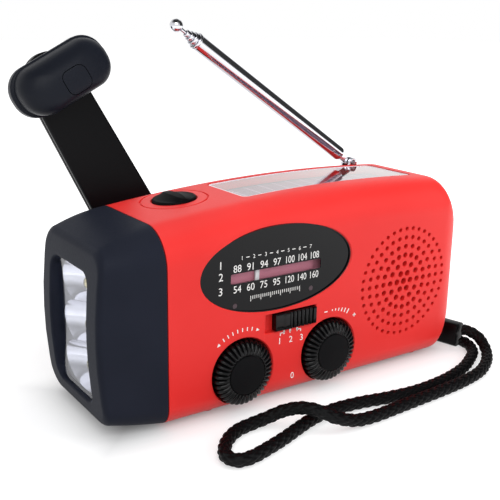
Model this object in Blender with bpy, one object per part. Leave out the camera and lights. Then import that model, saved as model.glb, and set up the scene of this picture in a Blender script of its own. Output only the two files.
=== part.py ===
# Hand-crank emergency radio with torch, solar panel, telescopic aerial and wrist strap.
# Frame: +X along the length towards the loudspeaker, -Y is the front, +Z is up.
# The origin is the middle of the flat underside. Sizes below are in millimetres.
import math

import bmesh
import bpy
from mathutils import Matrix, Vector

MM = 0.001

# Fits
GAP = 0.3                    # between pieces that touch
SLIDE_GAP = 0.15             # between aerial sections
RUN_GAP = 0.4                # round knobs and other turning pieces
CUT_PAST = 2.0               # how far a cutter runs past the face that it opens
ROOT = 0.5                   # how far a boss or stem is set into the piece that it grows from

# Body
BODY_RIGHT = 64.0            # x of the loudspeaker end
SEAM_X = -45.8               # x where the torch head starts
BODY_DEPTH = 43.0
CROWN_Z = 59.5               # highest point of the arched top
CROWN_X = 22.0
CROWN_RADIUS = 514.0
WALL = 2.0
TOP_WALL = 3.0
EDGE_TOP_FRONT = 10.5        # radii of the long edges
EDGE_TOP_BACK = 8.0
EDGE_BOTTOM = 6.0
END_LENGTH = 9.0             # how far the loudspeaker end rounds off along x
END_SIDE = 6.5
END_TOP = 14.0
END_BOTTOM = 22.0
PARTING_FROM_BACK = 6.5      # rear face to the plane between the shells
FOOT_HEIGHT = 1.0
FOOT_RADIUS = 2.6
FOOT_DRAFT = 0.5             # a foot is this much narrower at the ground
FOOT_X = (-30.0, 50.0)
FOOT_Y = (-14.0, 10.0)

# Screws that hold the shells together
SCREW_SPOTS = ((-40.0, 8.0), (56.0, 12.0), (-40.0, 47.0), (54.0, 46.0))
SCREW_BOSS = 3.2
SCREW_SHANK = 1.1
SCREW_HEAD = 2.5
SCREW_HEAD_HEIGHT = 1.6
SCREW_LENGTH = 15.0
SCREW_SUNK = 1.2             # depth of the head below the rear face
SCREW_PILOT_GAP = 0.15
SCREW_PILOT_SPARE = 1.0      # pilot hole beyond the end of the screw

# Dial
DIAL_X = -10.0
DIAL_Z = 40.0
DIAL_HALF_X = 26.0
DIAL_HALF_Z = 12.4
DIAL_RECESS = 0.9            # so that the lens is flush where the face starts to round over
DIAL_LENS_THICKNESS = 0.8
DIAL_PLATE_THICKNESS = 0.9
POINTER_X = -16.5
POINTER_Z = 38.9
POINTER_LEFT = -25.5         # ends of the pointer's travel
POINTER_RIGHT = 3.0
POINTER_WIDTH = 1.3
POINTER_HEIGHT = 4.4
POINTER_THICKNESS = 0.6
POINTER_STEM = 1.0
POINTER_SLIDE = 1.0          # thickness of the carriage behind the scale

# Round knobs and their wells
TUNING_X = -22.2
VOLUME_X = 8.7
KNOB_Z = 11.2
KNOB_RADIUS = 9.7
KNOB_FACE = 6.9
KNOB_STANDS_OUT = 2.6
KNOB_SHOULDER = 2.4          # face down to the start of the bevel
KNOB_BEVEL = 0.9
KNOB_BEVEL_DROP = 1.0
KNOB_LIP = 0.4
KNOB_FLUTES = 36
FLUTE_DEPTH = 0.4
WELL_DEPTH = 4.3
WELL_FLOOR = 1.7
WELL_WALL = 1.5
STEM_RADIUS = 2.8
STEM_LENGTH = 4.5
CAPACITOR_WIDTH = 17.0
POT_RADIUS = 8.0

# Band slide switch
SLOT_LEFT = -14.9
SLOT_RIGHT = 3.3
SLOT_LOW = 21.0
SLOT_HIGH = 26.7
SLOT_DEPTH = 1.6
SLOT_PAD = 1.9               # thicker wall behind the slot
BAND_TRAVEL = 3.0
BAND_STANDS_OUT = 1.0
BAND_RIDGES = 7
BAND_RIDGE_DEPTH = 0.5
BAND_PLAIN = 0.35            # share of the cap at its left that has no ridges
BAND_PLAIN_END = 1.5         # plain length at its right
BAND_EDGE = 0.4
BAND_STEM_X = 3.6
BAND_STEM_Z = 2.0
BAND_STEM_LENGTH = 3.0
SLOT_PAD_MARGIN = 1.2

# Loudspeaker and its grille
GRILLE_X = 38.4
GRILLE_Z = 27.9
GRILLE_RADIUS = 17.1
GRILLE_RINGS = (6, 12, 20, 24, 32, 40)
GRILLE_HOLE_MIDDLE = 1.05    # radii of the largest and smallest holes
GRILLE_HOLE_EDGE = 0.62
SPEAKER_RADIUS = 18.6
SPEAKER_DEPTH = 9.5
SPEAKER_SHEET = 0.9
CONE_RADIUS = 16.8
CONE_DEPTH = 6.0
MAGNET_RADIUS = 10.0
MAGNET_DEPTH = 6.5
POLE_RADIUS = 3.6            # hole in the basket and magnet for the voice coil
COIL_RADIUS = 3.0
CONE_SHEET = 1.2
POLE_SUNK = 2.0

# Torch head
TORCH_LEFT = -64.6
TORCH_FRONT = -18.8          # section of the far end
TORCH_BACK = 19.6
TORCH_LOW = 2.4
TORCH_HIGH = 50.6
TORCH_EDGE = 1.6             # rounding of the far end
TORCH_CROWN = 130.0          # the far end is bowed to this radius from top to bottom
TORCH_FULLEST = 0.45         # share of the length at which the head is fullest
TORCH_BULGE = 0.5
TORCH_END_WALL = 4.0
WINDOW_FRONT = -11.2
WINDOW_BACK = 13.2
WINDOW_LOW = 7.2
WINDOW_HIGH = 43.8
WINDOW_CORNER = 4.0
LENS_DEPTH = 2.4             # how far the lens lies inside the window
LENS_THICKNESS = 1.3
REFLECTOR_LIP = 2.0
REFLECTOR_LIP_THICKNESS = 1.2
CUP_COUNT = 3
CUP_PITCH = 11.9
CUP_RADIUS = 5.8
CUP_DEPTH = 7.5
CUP_FLOOR = 0.9              # share of the depth at which the bowl meets the bore
LED_RADIUS = 2.5
LED_FLANGE = 2.9
LED_FLANGE_THICKNESS = 0.9
LED_LENGTH = 6.5
LED_BOARD_THICKNESS = 1.6

# Torch switch on the top
SWITCH_X = -29.4
SWITCH_Y = 4.6
SWITCH_RADIUS = 6.4
SWITCH_WELL_DEPTH = 1.0
SWITCH_RIM = 0.6             # height of the disc
SWITCH_BAR = 1.1             # height of the finger bar above the disc
SWITCH_BAR_HALF = 1.3
SWITCH_BAR_REACH = 0.8       # foot of the bar against the disc
SWITCH_EDGE = 0.6
SWITCH_STEM_REACH = 3.0      # stem below the top wall
SWITCH_BODY_DROP = 1.2       # switch body below the top wall
SWITCH_RING = 9.5            # engraved ring round the switch
SWITCH_RING_WIDTH = 0.6
SWITCH_RING_DEPTH = 0.5
SWITCH_BODY = 11.0
SWITCH_BODY_HEIGHT = 7.0

# Solar panel
SOLAR_LEFT = -14.0
SOLAR_RIGHT = 52.0
SOLAR_FRONT = -8.7
SOLAR_BACK = 13.0
SOLAR_CORNER = 2.0
SOLAR_LIP = 0.8
SOLAR_SUNK = 0.25            # window below the body round it
SOLAR_WINDOW_THICKNESS = 2.0
SOLAR_PANEL_THICKNESS = 1.6

# Boards, cell and ferrite rod
BOARD_Y = -7.5
BOARD_THICKNESS = 1.6
BOARD_LEFT = -34.0
BOARD_RIGHT = 17.0
BOARD_LOW = 4.0
BOARD_HIGH = 51.0
ROD_RADIUS = 4.0
ROD_LEFT = -20.0
ROD_RIGHT = 20.0
ROD_Z = 46.5
CELL_X = (25.0, 50.0)
CELL_Z = (17.0, 49.0)
CELL_THICKNESS = 9.0
CELL_EDGE = 2.0

# Crank
HUB_X = -23.9
HUB_Z = 32.9
HUB_RADIUS = 12.0
HUB_THICKNESS = 5.0
HUB_LUG_WIDTH = 9.4
HUB_LUG_HALF = 3.2
HUB_EDGE = 1.2
PIN_FROM_BACK = 9.5          # rear face to the fold pin
PIN_RADIUS = 1.5
PIN_SHORT = 0.4              # the pin ends this far inside the arm
CRANK_SWING = 25.6           # degrees that the arm points left of straight up
CRANK_LEAN = 9.0             # degrees that the arm leans back
ARM_LENGTH = 62.5            # fold pin to grip pin
ARM_WIDTH = 20.0
ARM_TIP_WIDTH = 16.6
ARM_THICKNESS = 4.5
ARM_HEEL = 3.0
ARM_SLOT_LENGTH = 6.6
GRIP_TURN = 2.5              # degrees
GRIP_HALF_LENGTH = 15.8
GRIP_SHIFT = 1.4             # the grip's middle lies this far along from its pin
GRIP_HALF_WIDTH = 6.6
GRIP_DEPTH = 10.6
GRIP_RIM = 2.4
GRIP_STEP = 0.5
GRIP_TOP = 0.7               # size of the grip's top against its base
GRIP_PIN_RADIUS = 2.2
GRIP_PIN_REACH = 5.2         # how far the pin goes into the grip
GRIP_CAP_RADIUS = 6.4
GRIP_CAP_THICKNESS = 1.4
GRIP_CAP_EDGE = 0.6
PLUG_HALF_LENGTH = 4.6
PLUG_HALF_WIDTH = 3.8
PLUG_ALONG = 2.4
PLUG_ACROSS = -0.3
PLUG_DEPTH = 2.2
PLUG_CORNER = 2.0
PLUG_SUNK = 0.5
POCKET_HALF_X = 9.0          # pocket in the rear shell for the folded grip
POCKET_HALF_Z = 18.6
POCKET_DEPTH = 4.6

# Gear train from the crank to the generator
GEAR_MODULE = 0.8
GEAR_WHEEL_TEETH = 36
GEAR_PINION_TEETH = 12
GEAR_PRESSURE = 25.0         # degrees
GEAR_ADDENDUM = 0.8          # in modules
GEAR_DEDENDUM = 1.1
GEAR_BACKLASH = 0.12
GEAR_CENTRE_SLACK = 0.1
GEAR_WIDTH = 3.0
GEAR_LAYER_GAP = 0.8
GEAR_OVERLAP = 0.4           # pinions stand this much past the wheels that they meet
GEAR_FROM_WALL = 1.9         # crank gear to the inside of the rear wall
IDLER_ANGLE = -12.0          # degrees, direction from the crank shaft
ROTOR_ANGLE = -20.0          # degrees, direction from the idler
CRANK_SHAFT_RADIUS = 3.0
IDLER_AXLE_RADIUS = 1.5
ROTOR_SHAFT_RADIUS = 1.0
ROTOR_SHAFT_REACH = 6.0
GENERATOR_RADIUS = 10.8

# Aerial
AERIAL_X = 46.8
AERIAL_FROM_BACK = 4.3
AERIAL_BOSS_RADIUS = 3.0     # pad on the rear shell that carries the aerial
AERIAL_BOSS_SUNK = 2.6       # its top lies this far below the crown of the body there
AERIAL_BOSS_HEIGHT = 5.0
AERIAL_TILT = 33.7           # degrees above level, pointing left
AERIAL_BASE_RADIUS = 2.8
AERIAL_BASE_THICKNESS = 1.0
AERIAL_STEM_RADIUS = 1.3
AERIAL_STEM_LENGTH = 6.0
AERIAL_EAR = 1.1
AERIAL_EAR_HALF = 1.6
AERIAL_TONGUE = 2.2          # thickness of the flattened hinge end
AERIAL_TONGUE_HALF = 1.6
AERIAL_PIN_RADIUS = 0.7
AERIAL_TUBE_START = 8.0
AERIAL_TUBE_END = 74.0
AERIAL_PLUG = 3.0            # solid end of the outer tube
AERIAL_RADII = (2.5, 2.0, 1.5, 1.05)
AERIAL_WALL = 0.35
AERIAL_STEP = 1.3            # each section shows this much past the last
AERIAL_INNER_LENGTH = 60.0
AERIAL_ROD_RADIUS = 0.55
AERIAL_TIP_RADIUS = 2.0
AERIAL_TIP_STANDS_OUT = 1.7  # rod that shows between the last tube and the ball

# Port under its rubber cover, on the rear face
PORT_X = 12.0
PORT_Z = 7.5
PORT_HALF_X = 8.0
PORT_HALF_Z = 3.6
PORT_COVER_THICKNESS = 1.4
PORT_CORNER = 1.5
SOCKET_HALF_X = 4.6
SOCKET_HALF_Z = 1.9
SOCKET_DEPTH = 7.0
SOCKET_SHEET = 0.4
SOCKET_BACK = 1.5

# Wrist strap
STRAP_RADIUS = 1.9
LOOP_RADIUS = 0.8
BEAD_EXIT = (68.55, -19.85)  # middle of the end that the strap leaves, seen from above
BEAD_HEADING = -76.0         # degrees from +X to the way the strap leaves
BEAD_LENGTH = 9.0
BEAD_WIDTH = 5.0
BEAD_HEIGHT = 8.0
BEAD_EDGE = 1.2
EAR_FROM = 60.0              # ear under the loudspeaker end that holds the strap
EAR_TO = 67.0
EAR_Y = -6.0
EAR_THICKNESS = 2.0
EAR_Z = 8.6
EAR_HALF_Z = 2.6
EAR_HOLE = 1.5
EAR_HOLE_X = 64.4
EAR_ROOT_CORNER = 0.4
STRAP_PITCH = 5.6            # length of one straight step along each cord
LOOP_PITCH = 2.2
STRAP_ROUTE = (
    (68.8, -20.9, 0.9), (68.8, -22.8, 0.9), (67.4, -26.2, 0.9), (64.4, -29.8, 0.9), (59.2, -33.2, 0.9),
    (52.6, -36.6, 0.9), (43.8, -39.3, 0.9), (35.0, -40.7, 0.9), (26.0, -41.0, 0.9), (16.2, -39.8, 0.9),
    (8.0, -38.1, 0.9), (0.3, -37.3, 0.9), (-5.5, -37.6, 0.9), (-11.5, -38.9, 0.9), (-17.5, -41.0, 0.9),
    (-23.5, -43.2, 0.9), (-30.0, -45.2, 0.9), (-36.0, -46.6, 0.9), (-40.0, -46.0, 0.9), (-41.2, -42.6, 0.9),
    (-39.2, -38.8, 0.9), (-35.6, -35.3, 0.9), (-31.2, -32.9, 0.9), (-26.4, -32.0, 0.9), (-21.5, -32.4, 1.6),
    (-17.4, -34.7, 3.6), (-14.3, -38.4, 5.2), (-11.4, -42.2, 5.2), (-7.6, -45.2, 3.4), (-1.6, -46.5, 1.5),
    (5.5, -46.6, 0.9), (14.0, -46.2, 0.9), (24.0, -45.6, 0.9), (34.0, -45.0, 0.9), (44.0, -44.0, 0.9),
    (54.0, -41.8, 0.9), (61.4, -38.0, 0.9), (67.2, -33.4, 1.0), (69.9, -29.6, 2.3), (70.6, -26.2, 4.0),
    (69.7, -22.8, 5.1), (68.9, -20.9, 5.1),
)
LOOP_ROUTE = (
    (65.6, -10.5, 2.9), (64.9, -9.9, 3.8), (64.4, -9.4, 6.4), (64.4, -7.9, 8.4), (64.4, -6.0, 8.6),
    (64.4, -4.1, 8.4), (65.2, -3.0, 6.6), (66.6, -4.2, 4.4), (67.6, -7.2, 3.0), (67.3, -10.1, 2.9),
)

FRONT = -BODY_DEPTH / 2
BACK = BODY_DEPTH / 2
PARTING_Y = BACK - PARTING_FROM_BACK
PIN_Y = BACK + PIN_FROM_BACK
CRANK_GEAR_Y = BACK - WALL - GEAR_FROM_WALL - GEAR_WIDTH
AERIAL_Y = BACK - AERIAL_FROM_BACK
AERIAL_LAST_END = AERIAL_TUBE_END + AERIAL_STEP * (len(AERIAL_RADII) - 1)
AERIAL_TIP_S = AERIAL_LAST_END + AERIAL_TIP_STANDS_OUT + AERIAL_TIP_RADIUS
WELL_RADIUS = KNOB_RADIUS + RUN_GAP
WELL_BOTTOM_Y = FRONT + WELL_DEPTH
WELL_BACK_Y = WELL_BOTTOM_Y + WELL_FLOOR

for old in list(bpy.data.objects):
    bpy.data.objects.remove(old, do_unlink=True)


# Materials

def material(name, colour, roughness, metallic=0.0):
    made = bpy.data.materials.new(name)
    made.use_nodes = True
    shader = made.node_tree.nodes["Principled BSDF"]
    shader.inputs["Base Color"].default_value = (*colour, 1.0)
    shader.inputs["Roughness"].default_value = roughness
    shader.inputs["Metallic"].default_value = metallic
    made.diffuse_color = (*colour, 1.0)
    return made


RED = material("red_abs", (0.80, 0.035, 0.03), 0.42)
BLACK = material("black_abs", (0.012, 0.013, 0.017), 0.5)
CHROME = material("chrome", (0.75, 0.75, 0.77), 0.12, 1.0)
CLEAR = material("clear_plastic", (0.85, 0.86, 0.9), 0.08)
GLOSS = material("black_gloss", (0.008, 0.008, 0.009), 0.1)
WHITE = material("white_plastic", (0.85, 0.85, 0.83), 0.4)
BOARD = material("green_board", (0.02, 0.16, 0.06), 0.5)
STEEL = material("steel", (0.5, 0.5, 0.52), 0.3, 1.0)
SILICON = material("solar_silicon", (0.03, 0.03, 0.07), 0.2)
FERRITE = material("ferrite", (0.05, 0.05, 0.055), 0.6)
PAPER = material("cone_paper", (0.03, 0.03, 0.03), 0.9)
NYLON = material("white_nylon", (0.7, 0.69, 0.64), 0.5)
FOIL = material("cell_foil", (0.25, 0.35, 0.6), 0.4)
BRAID = material("black_braid", (0.012, 0.012, 0.013), 0.85)
RUBBER = material("black_rubber", (0.015, 0.015, 0.016), 0.8)


# Outlines, as lists of 2D points

def arc(cx, cy, radius, start, end, steps):
    return [(cx + radius * math.cos(math.radians(start + (end - start) * i / steps)),
             cy + radius * math.sin(math.radians(start + (end - start) * i / steps)))
            for i in range(steps + 1)]


def circle(cx, cy, radius, sides):
    return arc(cx, cy, radius, 0, 360, sides)[:-1]


def ellipse(cx, cy, half_x, half_y, sides):
    return [(cx + half_x * math.cos(2 * math.pi * i / sides),
             cy + half_y * math.sin(2 * math.pi * i / sides)) for i in range(sides)]


def rounded_rectangle(x0, x1, y0, y1, radii, steps=5):
    # radii go round from the low-low corner: low-low, high-low, high-high, low-high
    a, b, c, d = radii
    return (arc(x0 + a, y0 + a, a, 180, 270, steps) + arc(x1 - b, y0 + b, b, 270, 360, steps)
            + arc(x1 - c, y1 - c, c, 0, 90, steps) + arc(x0 + d, y1 - d, d, 90, 180, steps))


# Meshes, as (points, faces) in millimetres

def loft(rings, bowed_end=False):
    count = len(rings[0])
    points = [p for ring in rings for p in ring]
    faces = []
    for k in range(len(rings) - 1):
        for i in range(count):
            j = (i + 1) % count
            faces.append((k * count + i, k * count + j, (k + 1) * count + j, (k + 1) * count + i))
    faces.append(tuple(reversed(range(count))))
    last = (len(rings) - 1) * count
    if bowed_end:
        # strips across the last ring, from its bottom edge to its top edge
        pairs = [(last + (count // 4 - 1 - i) % count, last + count // 4 + i) for i in range(count // 2)]
        faces += [(a, b, d, c) for (a, b), (c, d) in zip(pairs, pairs[1:])]
    else:
        faces.append(tuple(range(last, last + count)))
    return points, faces


def prism_y(outline, y0, y1):
    return loft([[(x, y, z) for x, z in outline] for y in (y0, y1)])


def prism_x(outline, x0, x1):
    return loft([[(x, y, z) for y, z in outline] for x in (x0, x1)])


def prism_z(outline, z0, z1):
    return loft([[(x, y, z) for x, y in outline] for z in (z0, z1)])


def box(x0, x1, y0, y1, z0, z1):
    return prism_z([(x0, y0), (x1, y0), (x1, y1), (x0, y1)], z0, z1)


def turned(profile, sides, closed=False):
    # profile of (radius, height) about the z axis; a radius of 0 is a pole
    points, rings, faces = [], [], []
    for radius, height in profile:
        if radius == 0:
            rings.append([len(points)])
            points.append((0.0, 0.0, height))
        else:
            rings.append(list(range(len(points), len(points) + sides)))
            points += [(radius * math.cos(2 * math.pi * i / sides),
                        radius * math.sin(2 * math.pi * i / sides), height) for i in range(sides)]
    pairs = list(zip(rings, rings[1:]))
    if closed:
        pairs.append((rings[-1], rings[0]))
    for low, high in pairs:
        for i in range(sides):
            j = (i + 1) % sides
            face = [low[i % len(low)], low[j % len(low)], high[j % len(high)], high[i % len(high)]]
            face = list(dict.fromkeys(face))
            if len(face) > 2:
                faces.append(tuple(face))
    return points, faces


def moved(mesh, matrix):
    points, faces = mesh
    return [tuple(matrix @ Vector(p)) for p in points], faces


def joined(*meshes):
    points, faces = [], []
    for more_points, more_faces in meshes:
        start = len(points)
        points += more_points
        faces += [tuple(i + start for i in face) for face in more_faces]
    return points, faces


def along_y(x, y, z):
    # stands a turned shape's axis along -Y at a point: its height 0 is at y, and it grows to the front
    return Matrix.Translation((x, y, z)) @ Matrix.Rotation(math.radians(90), 4, "X")


# Objects

def add(name, mesh, finish=None, frame=None, smooth=30.0):
    # the mesh's points are in the given frame, whose origin becomes the object's origin
    frame = frame or Matrix.Identity(4)
    points, faces = mesh
    data = bpy.data.meshes.new(name)
    work = bmesh.new()
    corners = [work.verts.new([c * MM for c in p]) for p in points]
    for face in faces:
        work.faces.new([corners[i] for i in face])
    bmesh.ops.recalc_face_normals(work, faces=work.faces)
    work.to_mesh(data)
    work.free()
    made = bpy.data.objects.new(name, data)
    bpy.context.scene.collection.objects.link(made)
    place = frame.copy()
    place.translation = frame.translation * MM
    made.matrix_world = place
    if finish:
        data.materials.append(finish)
        data.shade_smooth()
        data.set_sharp_from_angle(angle=math.radians(smooth))
    return made


def at(x, y, z):
    return Matrix.Translation((x, y, z))


def cutter(name, mesh, frame=None):
    made = add(name, mesh, frame=frame)
    made.hide_render = True
    made.display_type = "WIRE"
    return made


def change(target, operation, tool):
    step = target.modifiers.new(tool.name, "BOOLEAN")
    step.operation = operation
    step.solver = "EXACT"
    step.object = tool


def cut(target, *tools):
    for tool in tools:
        change(target, "DIFFERENCE", tool)


def fuse(target, *tools):
    for tool in tools:
        change(target, "UNION", tool)


# Body form: rounded sections along x, under an arched top

def top_z(x):
    return CROWN_Z - CROWN_RADIUS + math.sqrt(CROWN_RADIUS ** 2 - (x - CROWN_X) ** 2)


def body_ring(x, inset, top_inset, side=0.0, high=0.0, low=0.0):
    bottom = EDGE_BOTTOM - inset
    outline = rounded_rectangle(FRONT + inset + side, BACK - inset - side, inset + low,
                                top_z(x) - top_inset - high,
                                (bottom, bottom, EDGE_TOP_BACK - inset, EDGE_TOP_FRONT - inset))
    return [(x, y, z) for y, z in outline]


def body_rings(left, inset, top_inset):
    right = BODY_RIGHT - inset
    length = END_LENGTH - inset
    span_count = 8
    straight = right - length - left
    rings = [body_ring(left + straight * i / span_count, inset, top_inset) for i in range(span_count)]
    for step in range(5):
        turn = math.radians(22.5 * step)
        x = right - length * (1 - math.sin(turn))
        shrink = 1 - math.cos(turn)
        rings.append(body_ring(x, inset, top_inset, (END_SIDE - inset) * shrink,
                               (END_TOP - top_inset) * shrink, (END_BOTTOM - inset) * shrink))
    return rings


def along_screw(x, y, z):
    # stands a turned shape's axis along +Y at a point
    return at(x, y, z) @ Matrix.Rotation(math.radians(-90), 4, "X")


def screw_bosses():
    post = turned([(0, FRONT), (SCREW_BOSS, FRONT), (SCREW_BOSS, BACK), (0, BACK)], 12)
    return joined(*[moved(post, along_screw(x, 0, z)) for x, z in SCREW_SPOTS])


def gear_place(start, angle):
    reach = GEAR_MODULE * (GEAR_WHEEL_TEETH + GEAR_PINION_TEETH) / 2 + GEAR_CENTRE_SLACK
    turn = math.radians(angle)
    return (start[0] + reach * math.cos(turn), start[1] + reach * math.sin(turn))


IDLER = gear_place((HUB_X, HUB_Z), IDLER_ANGLE)
ROTOR = gear_place(IDLER, ROTOR_ANGLE)
IDLER_WHEEL_Y = CRANK_GEAR_Y - GEAR_LAYER_GAP - GEAR_WIDTH
POCKET_X = HUB_X + ARM_LENGTH


def pocket_outline(margin):
    half_x = POCKET_HALF_X + margin
    half_z = POCKET_HALF_Z + margin
    return rounded_rectangle(POCKET_X - half_x, POCKET_X + half_x, HUB_Z - half_z, HUB_Z + half_z,
                             (half_x,) * 4, 6)


def solar_outline(margin, corner):
    return rounded_rectangle(SOLAR_LEFT - margin, SOLAR_RIGHT + margin, SOLAR_FRONT - margin,
                             SOLAR_BACK + margin, (corner,) * 4, 3)


SWITCH_SLOPE = math.asin((CROWN_X - SWITCH_X) / CROWN_RADIUS)
SWITCH_FRAME = at(SWITCH_X, SWITCH_Y, top_z(SWITCH_X)) @ Matrix.Rotation(-SWITCH_SLOPE, 4, "Y")


AERIAL_BOSS_TOP = top_z(AERIAL_X) - AERIAL_BOSS_SUNK
AERIAL_PIVOT_Z = AERIAL_BOSS_TOP + GAP + AERIAL_BASE_THICKNESS + GAP + AERIAL_TONGUE_HALF


def slot_box(margin, y0, y1):
    return box(SLOT_LEFT - margin, SLOT_RIGHT + margin, y0, y1, SLOT_LOW - margin, SLOT_HIGH + margin)


BAND_LENGTH = SLOT_RIGHT - SLOT_LEFT - 2 * GAP - BAND_TRAVEL
BAND_RIGHT = SLOT_RIGHT - GAP
BAND_LEFT = BAND_RIGHT - BAND_LENGTH
BAND_X = (BAND_LEFT + BAND_RIGHT) / 2
BAND_Z = (SLOT_LOW + SLOT_HIGH) / 2


def band_stem_slot(y0, y1):
    half = BAND_STEM_X / 2 + GAP
    return box(BAND_X - half - BAND_TRAVEL, BAND_X + half, y0, y1,
               BAND_Z - BAND_STEM_Z / 2 - GAP, BAND_Z + BAND_STEM_Z / 2 + GAP)


def knob_well(x):
    bore = STEM_RADIUS + RUN_GAP
    low = -WELL_DEPTH - WELL_FLOOR - CUT_PAST
    profile = [(0, CUT_PAST), (WELL_RADIUS, CUT_PAST), (WELL_RADIUS, -WELL_DEPTH), (bore, -WELL_DEPTH),
               (bore, low), (0, low)]
    return moved(turned(profile, 36), along_y(x, FRONT, KNOB_Z))


def grille_holes():
    # rings of holes at even pitch, which grow smaller towards the edge
    tools = []
    spots = [(0.0, 0.0, 0)]
    for ring, count in enumerate(GRILLE_RINGS, 1):
        radius = GRILLE_RADIUS * ring / len(GRILLE_RINGS)
        spots += [(x, z, ring) for x, z in circle(0.0, 0.0, radius, count)]
    for x, z, ring in spots:
        share = ring / len(GRILLE_RINGS)
        hole = GRILLE_HOLE_MIDDLE + (GRILLE_HOLE_EDGE - GRILLE_HOLE_MIDDLE) * share
        sides = 6 if ring < 2 else 5
        outline = circle(GRILLE_X + x, GRILLE_Z + z, hole, sides)
        tools.append(prism_y(outline, FRONT - CUT_PAST, FRONT + WALL + ROOT))
    return joined(*tools)


def cavity():
    made = cutter("cavity", loft(body_rings(SEAM_X - CUT_PAST, WALL, TOP_WALL)))
    outer = WELL_RADIUS + WELL_WALL
    deep = FRONT - WELL_BACK_Y
    cup = turned([(0, CUT_PAST), (outer, CUT_PAST), (outer, deep), (0, deep)], 24)
    wells = joined(*[moved(cup, along_y(x, FRONT, KNOB_Z)) for x in (TUNING_X, VOLUME_X)])
    pad = slot_box(SLOT_PAD_MARGIN, FRONT - CUT_PAST, FRONT + WALL + SLOT_PAD)
    cut(made, cutter("well_cups", wells), cutter("screw_posts", screw_bosses()), cutter("slot_pad", pad))
    return made


def front_shell(hollow, reach):
    front = add("front_shell", loft(body_rings(SEAM_X, 0.0, 0.0)), RED)
    cut(front, hollow)
    side = box(-reach, reach, -reach, PARTING_Y - GAP / 2, -reach, reach)
    change(front, "INTERSECT", cutter("front_side", side))
    ground = FOOT_RADIUS - FOOT_DRAFT
    foot = turned([(0, ROOT), (FOOT_RADIUS, ROOT), (ground, -FOOT_HEIGHT), (0, -FOOT_HEIGHT)], 12)
    feet = joined(*[moved(foot, at(x, y, 0)) for x in FOOT_X for y in FOOT_Y])
    ear = prism_y(rounded_rectangle(EAR_FROM, EAR_TO, EAR_Z - EAR_HALF_Z, EAR_Z + EAR_HALF_Z,
                                    (EAR_ROOT_CORNER, EAR_HALF_Z, EAR_HALF_Z, EAR_ROOT_CORNER), 4),
                  EAR_Y - EAR_THICKNESS / 2, EAR_Y + EAR_THICKNESS / 2)
    fuse(front, cutter("feet_and_ear", joined(feet, ear)))
    pilot = BACK - SCREW_SUNK - SCREW_HEAD_HEIGHT - SCREW_LENGTH - SCREW_PILOT_SPARE
    pilots = [prism_y(circle(x, z, SCREW_SHANK + SCREW_PILOT_GAP, 10), pilot, PARTING_Y + CUT_PAST)
              for x, z in SCREW_SPOTS]
    well = SWITCH_RADIUS + RUN_GAP
    low = -TOP_WALL - CUT_PAST
    floor = -SWITCH_WELL_DEPTH
    stem = turned([(0, CUT_PAST), (well, CUT_PAST), (well, floor), (STEM_RADIUS, floor), (STEM_RADIUS, low),
                   (0, low)], 28)
    outer = SWITCH_RING + SWITCH_RING_WIDTH
    ring = turned([(SWITCH_RING, CUT_PAST), (outer, CUT_PAST), (outer, -SWITCH_RING_DEPTH),
                   (SWITCH_RING, -SWITCH_RING_DEPTH)], 32, True)
    window = prism_y(ellipse(DIAL_X, DIAL_Z, DIAL_HALF_X, DIAL_HALF_Z, 40), FRONT - CUT_PAST,
                     FRONT + WALL + 2 * CUT_PAST)
    slot = slot_box(0.0, FRONT - CUT_PAST, FRONT + SLOT_DEPTH)
    panel = prism_z(solar_outline(0.0, SOLAR_CORNER), CROWN_Z - 2 * TOP_WALL - CUT_PAST, CROWN_Z + CUT_PAST)
    notch = prism_z(circle(AERIAL_X, AERIAL_Y, AERIAL_BOSS_RADIUS + GAP, 20),
                    AERIAL_BOSS_TOP - AERIAL_BOSS_HEIGHT - CUT_PAST, CROWN_Z + CUT_PAST)
    ear_hole = prism_y(circle(EAR_HOLE_X, EAR_Z, EAR_HOLE, 12), EAR_Y - CUT_PAST, EAR_Y + CUT_PAST)
    openings = joined(window, knob_well(TUNING_X), knob_well(VOLUME_X), slot, panel, ear_hole, notch,
                      moved(joined(stem, ring), SWITCH_FRAME), *pilots)
    stem_hole = band_stem_slot(FRONT + SLOT_DEPTH - ROOT, FRONT + WALL + SLOT_PAD + CUT_PAST)
    cut(front, cutter("front_openings", openings), cutter("band_stem_hole", stem_hole),
        cutter("grille_holes", grille_holes()))


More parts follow.
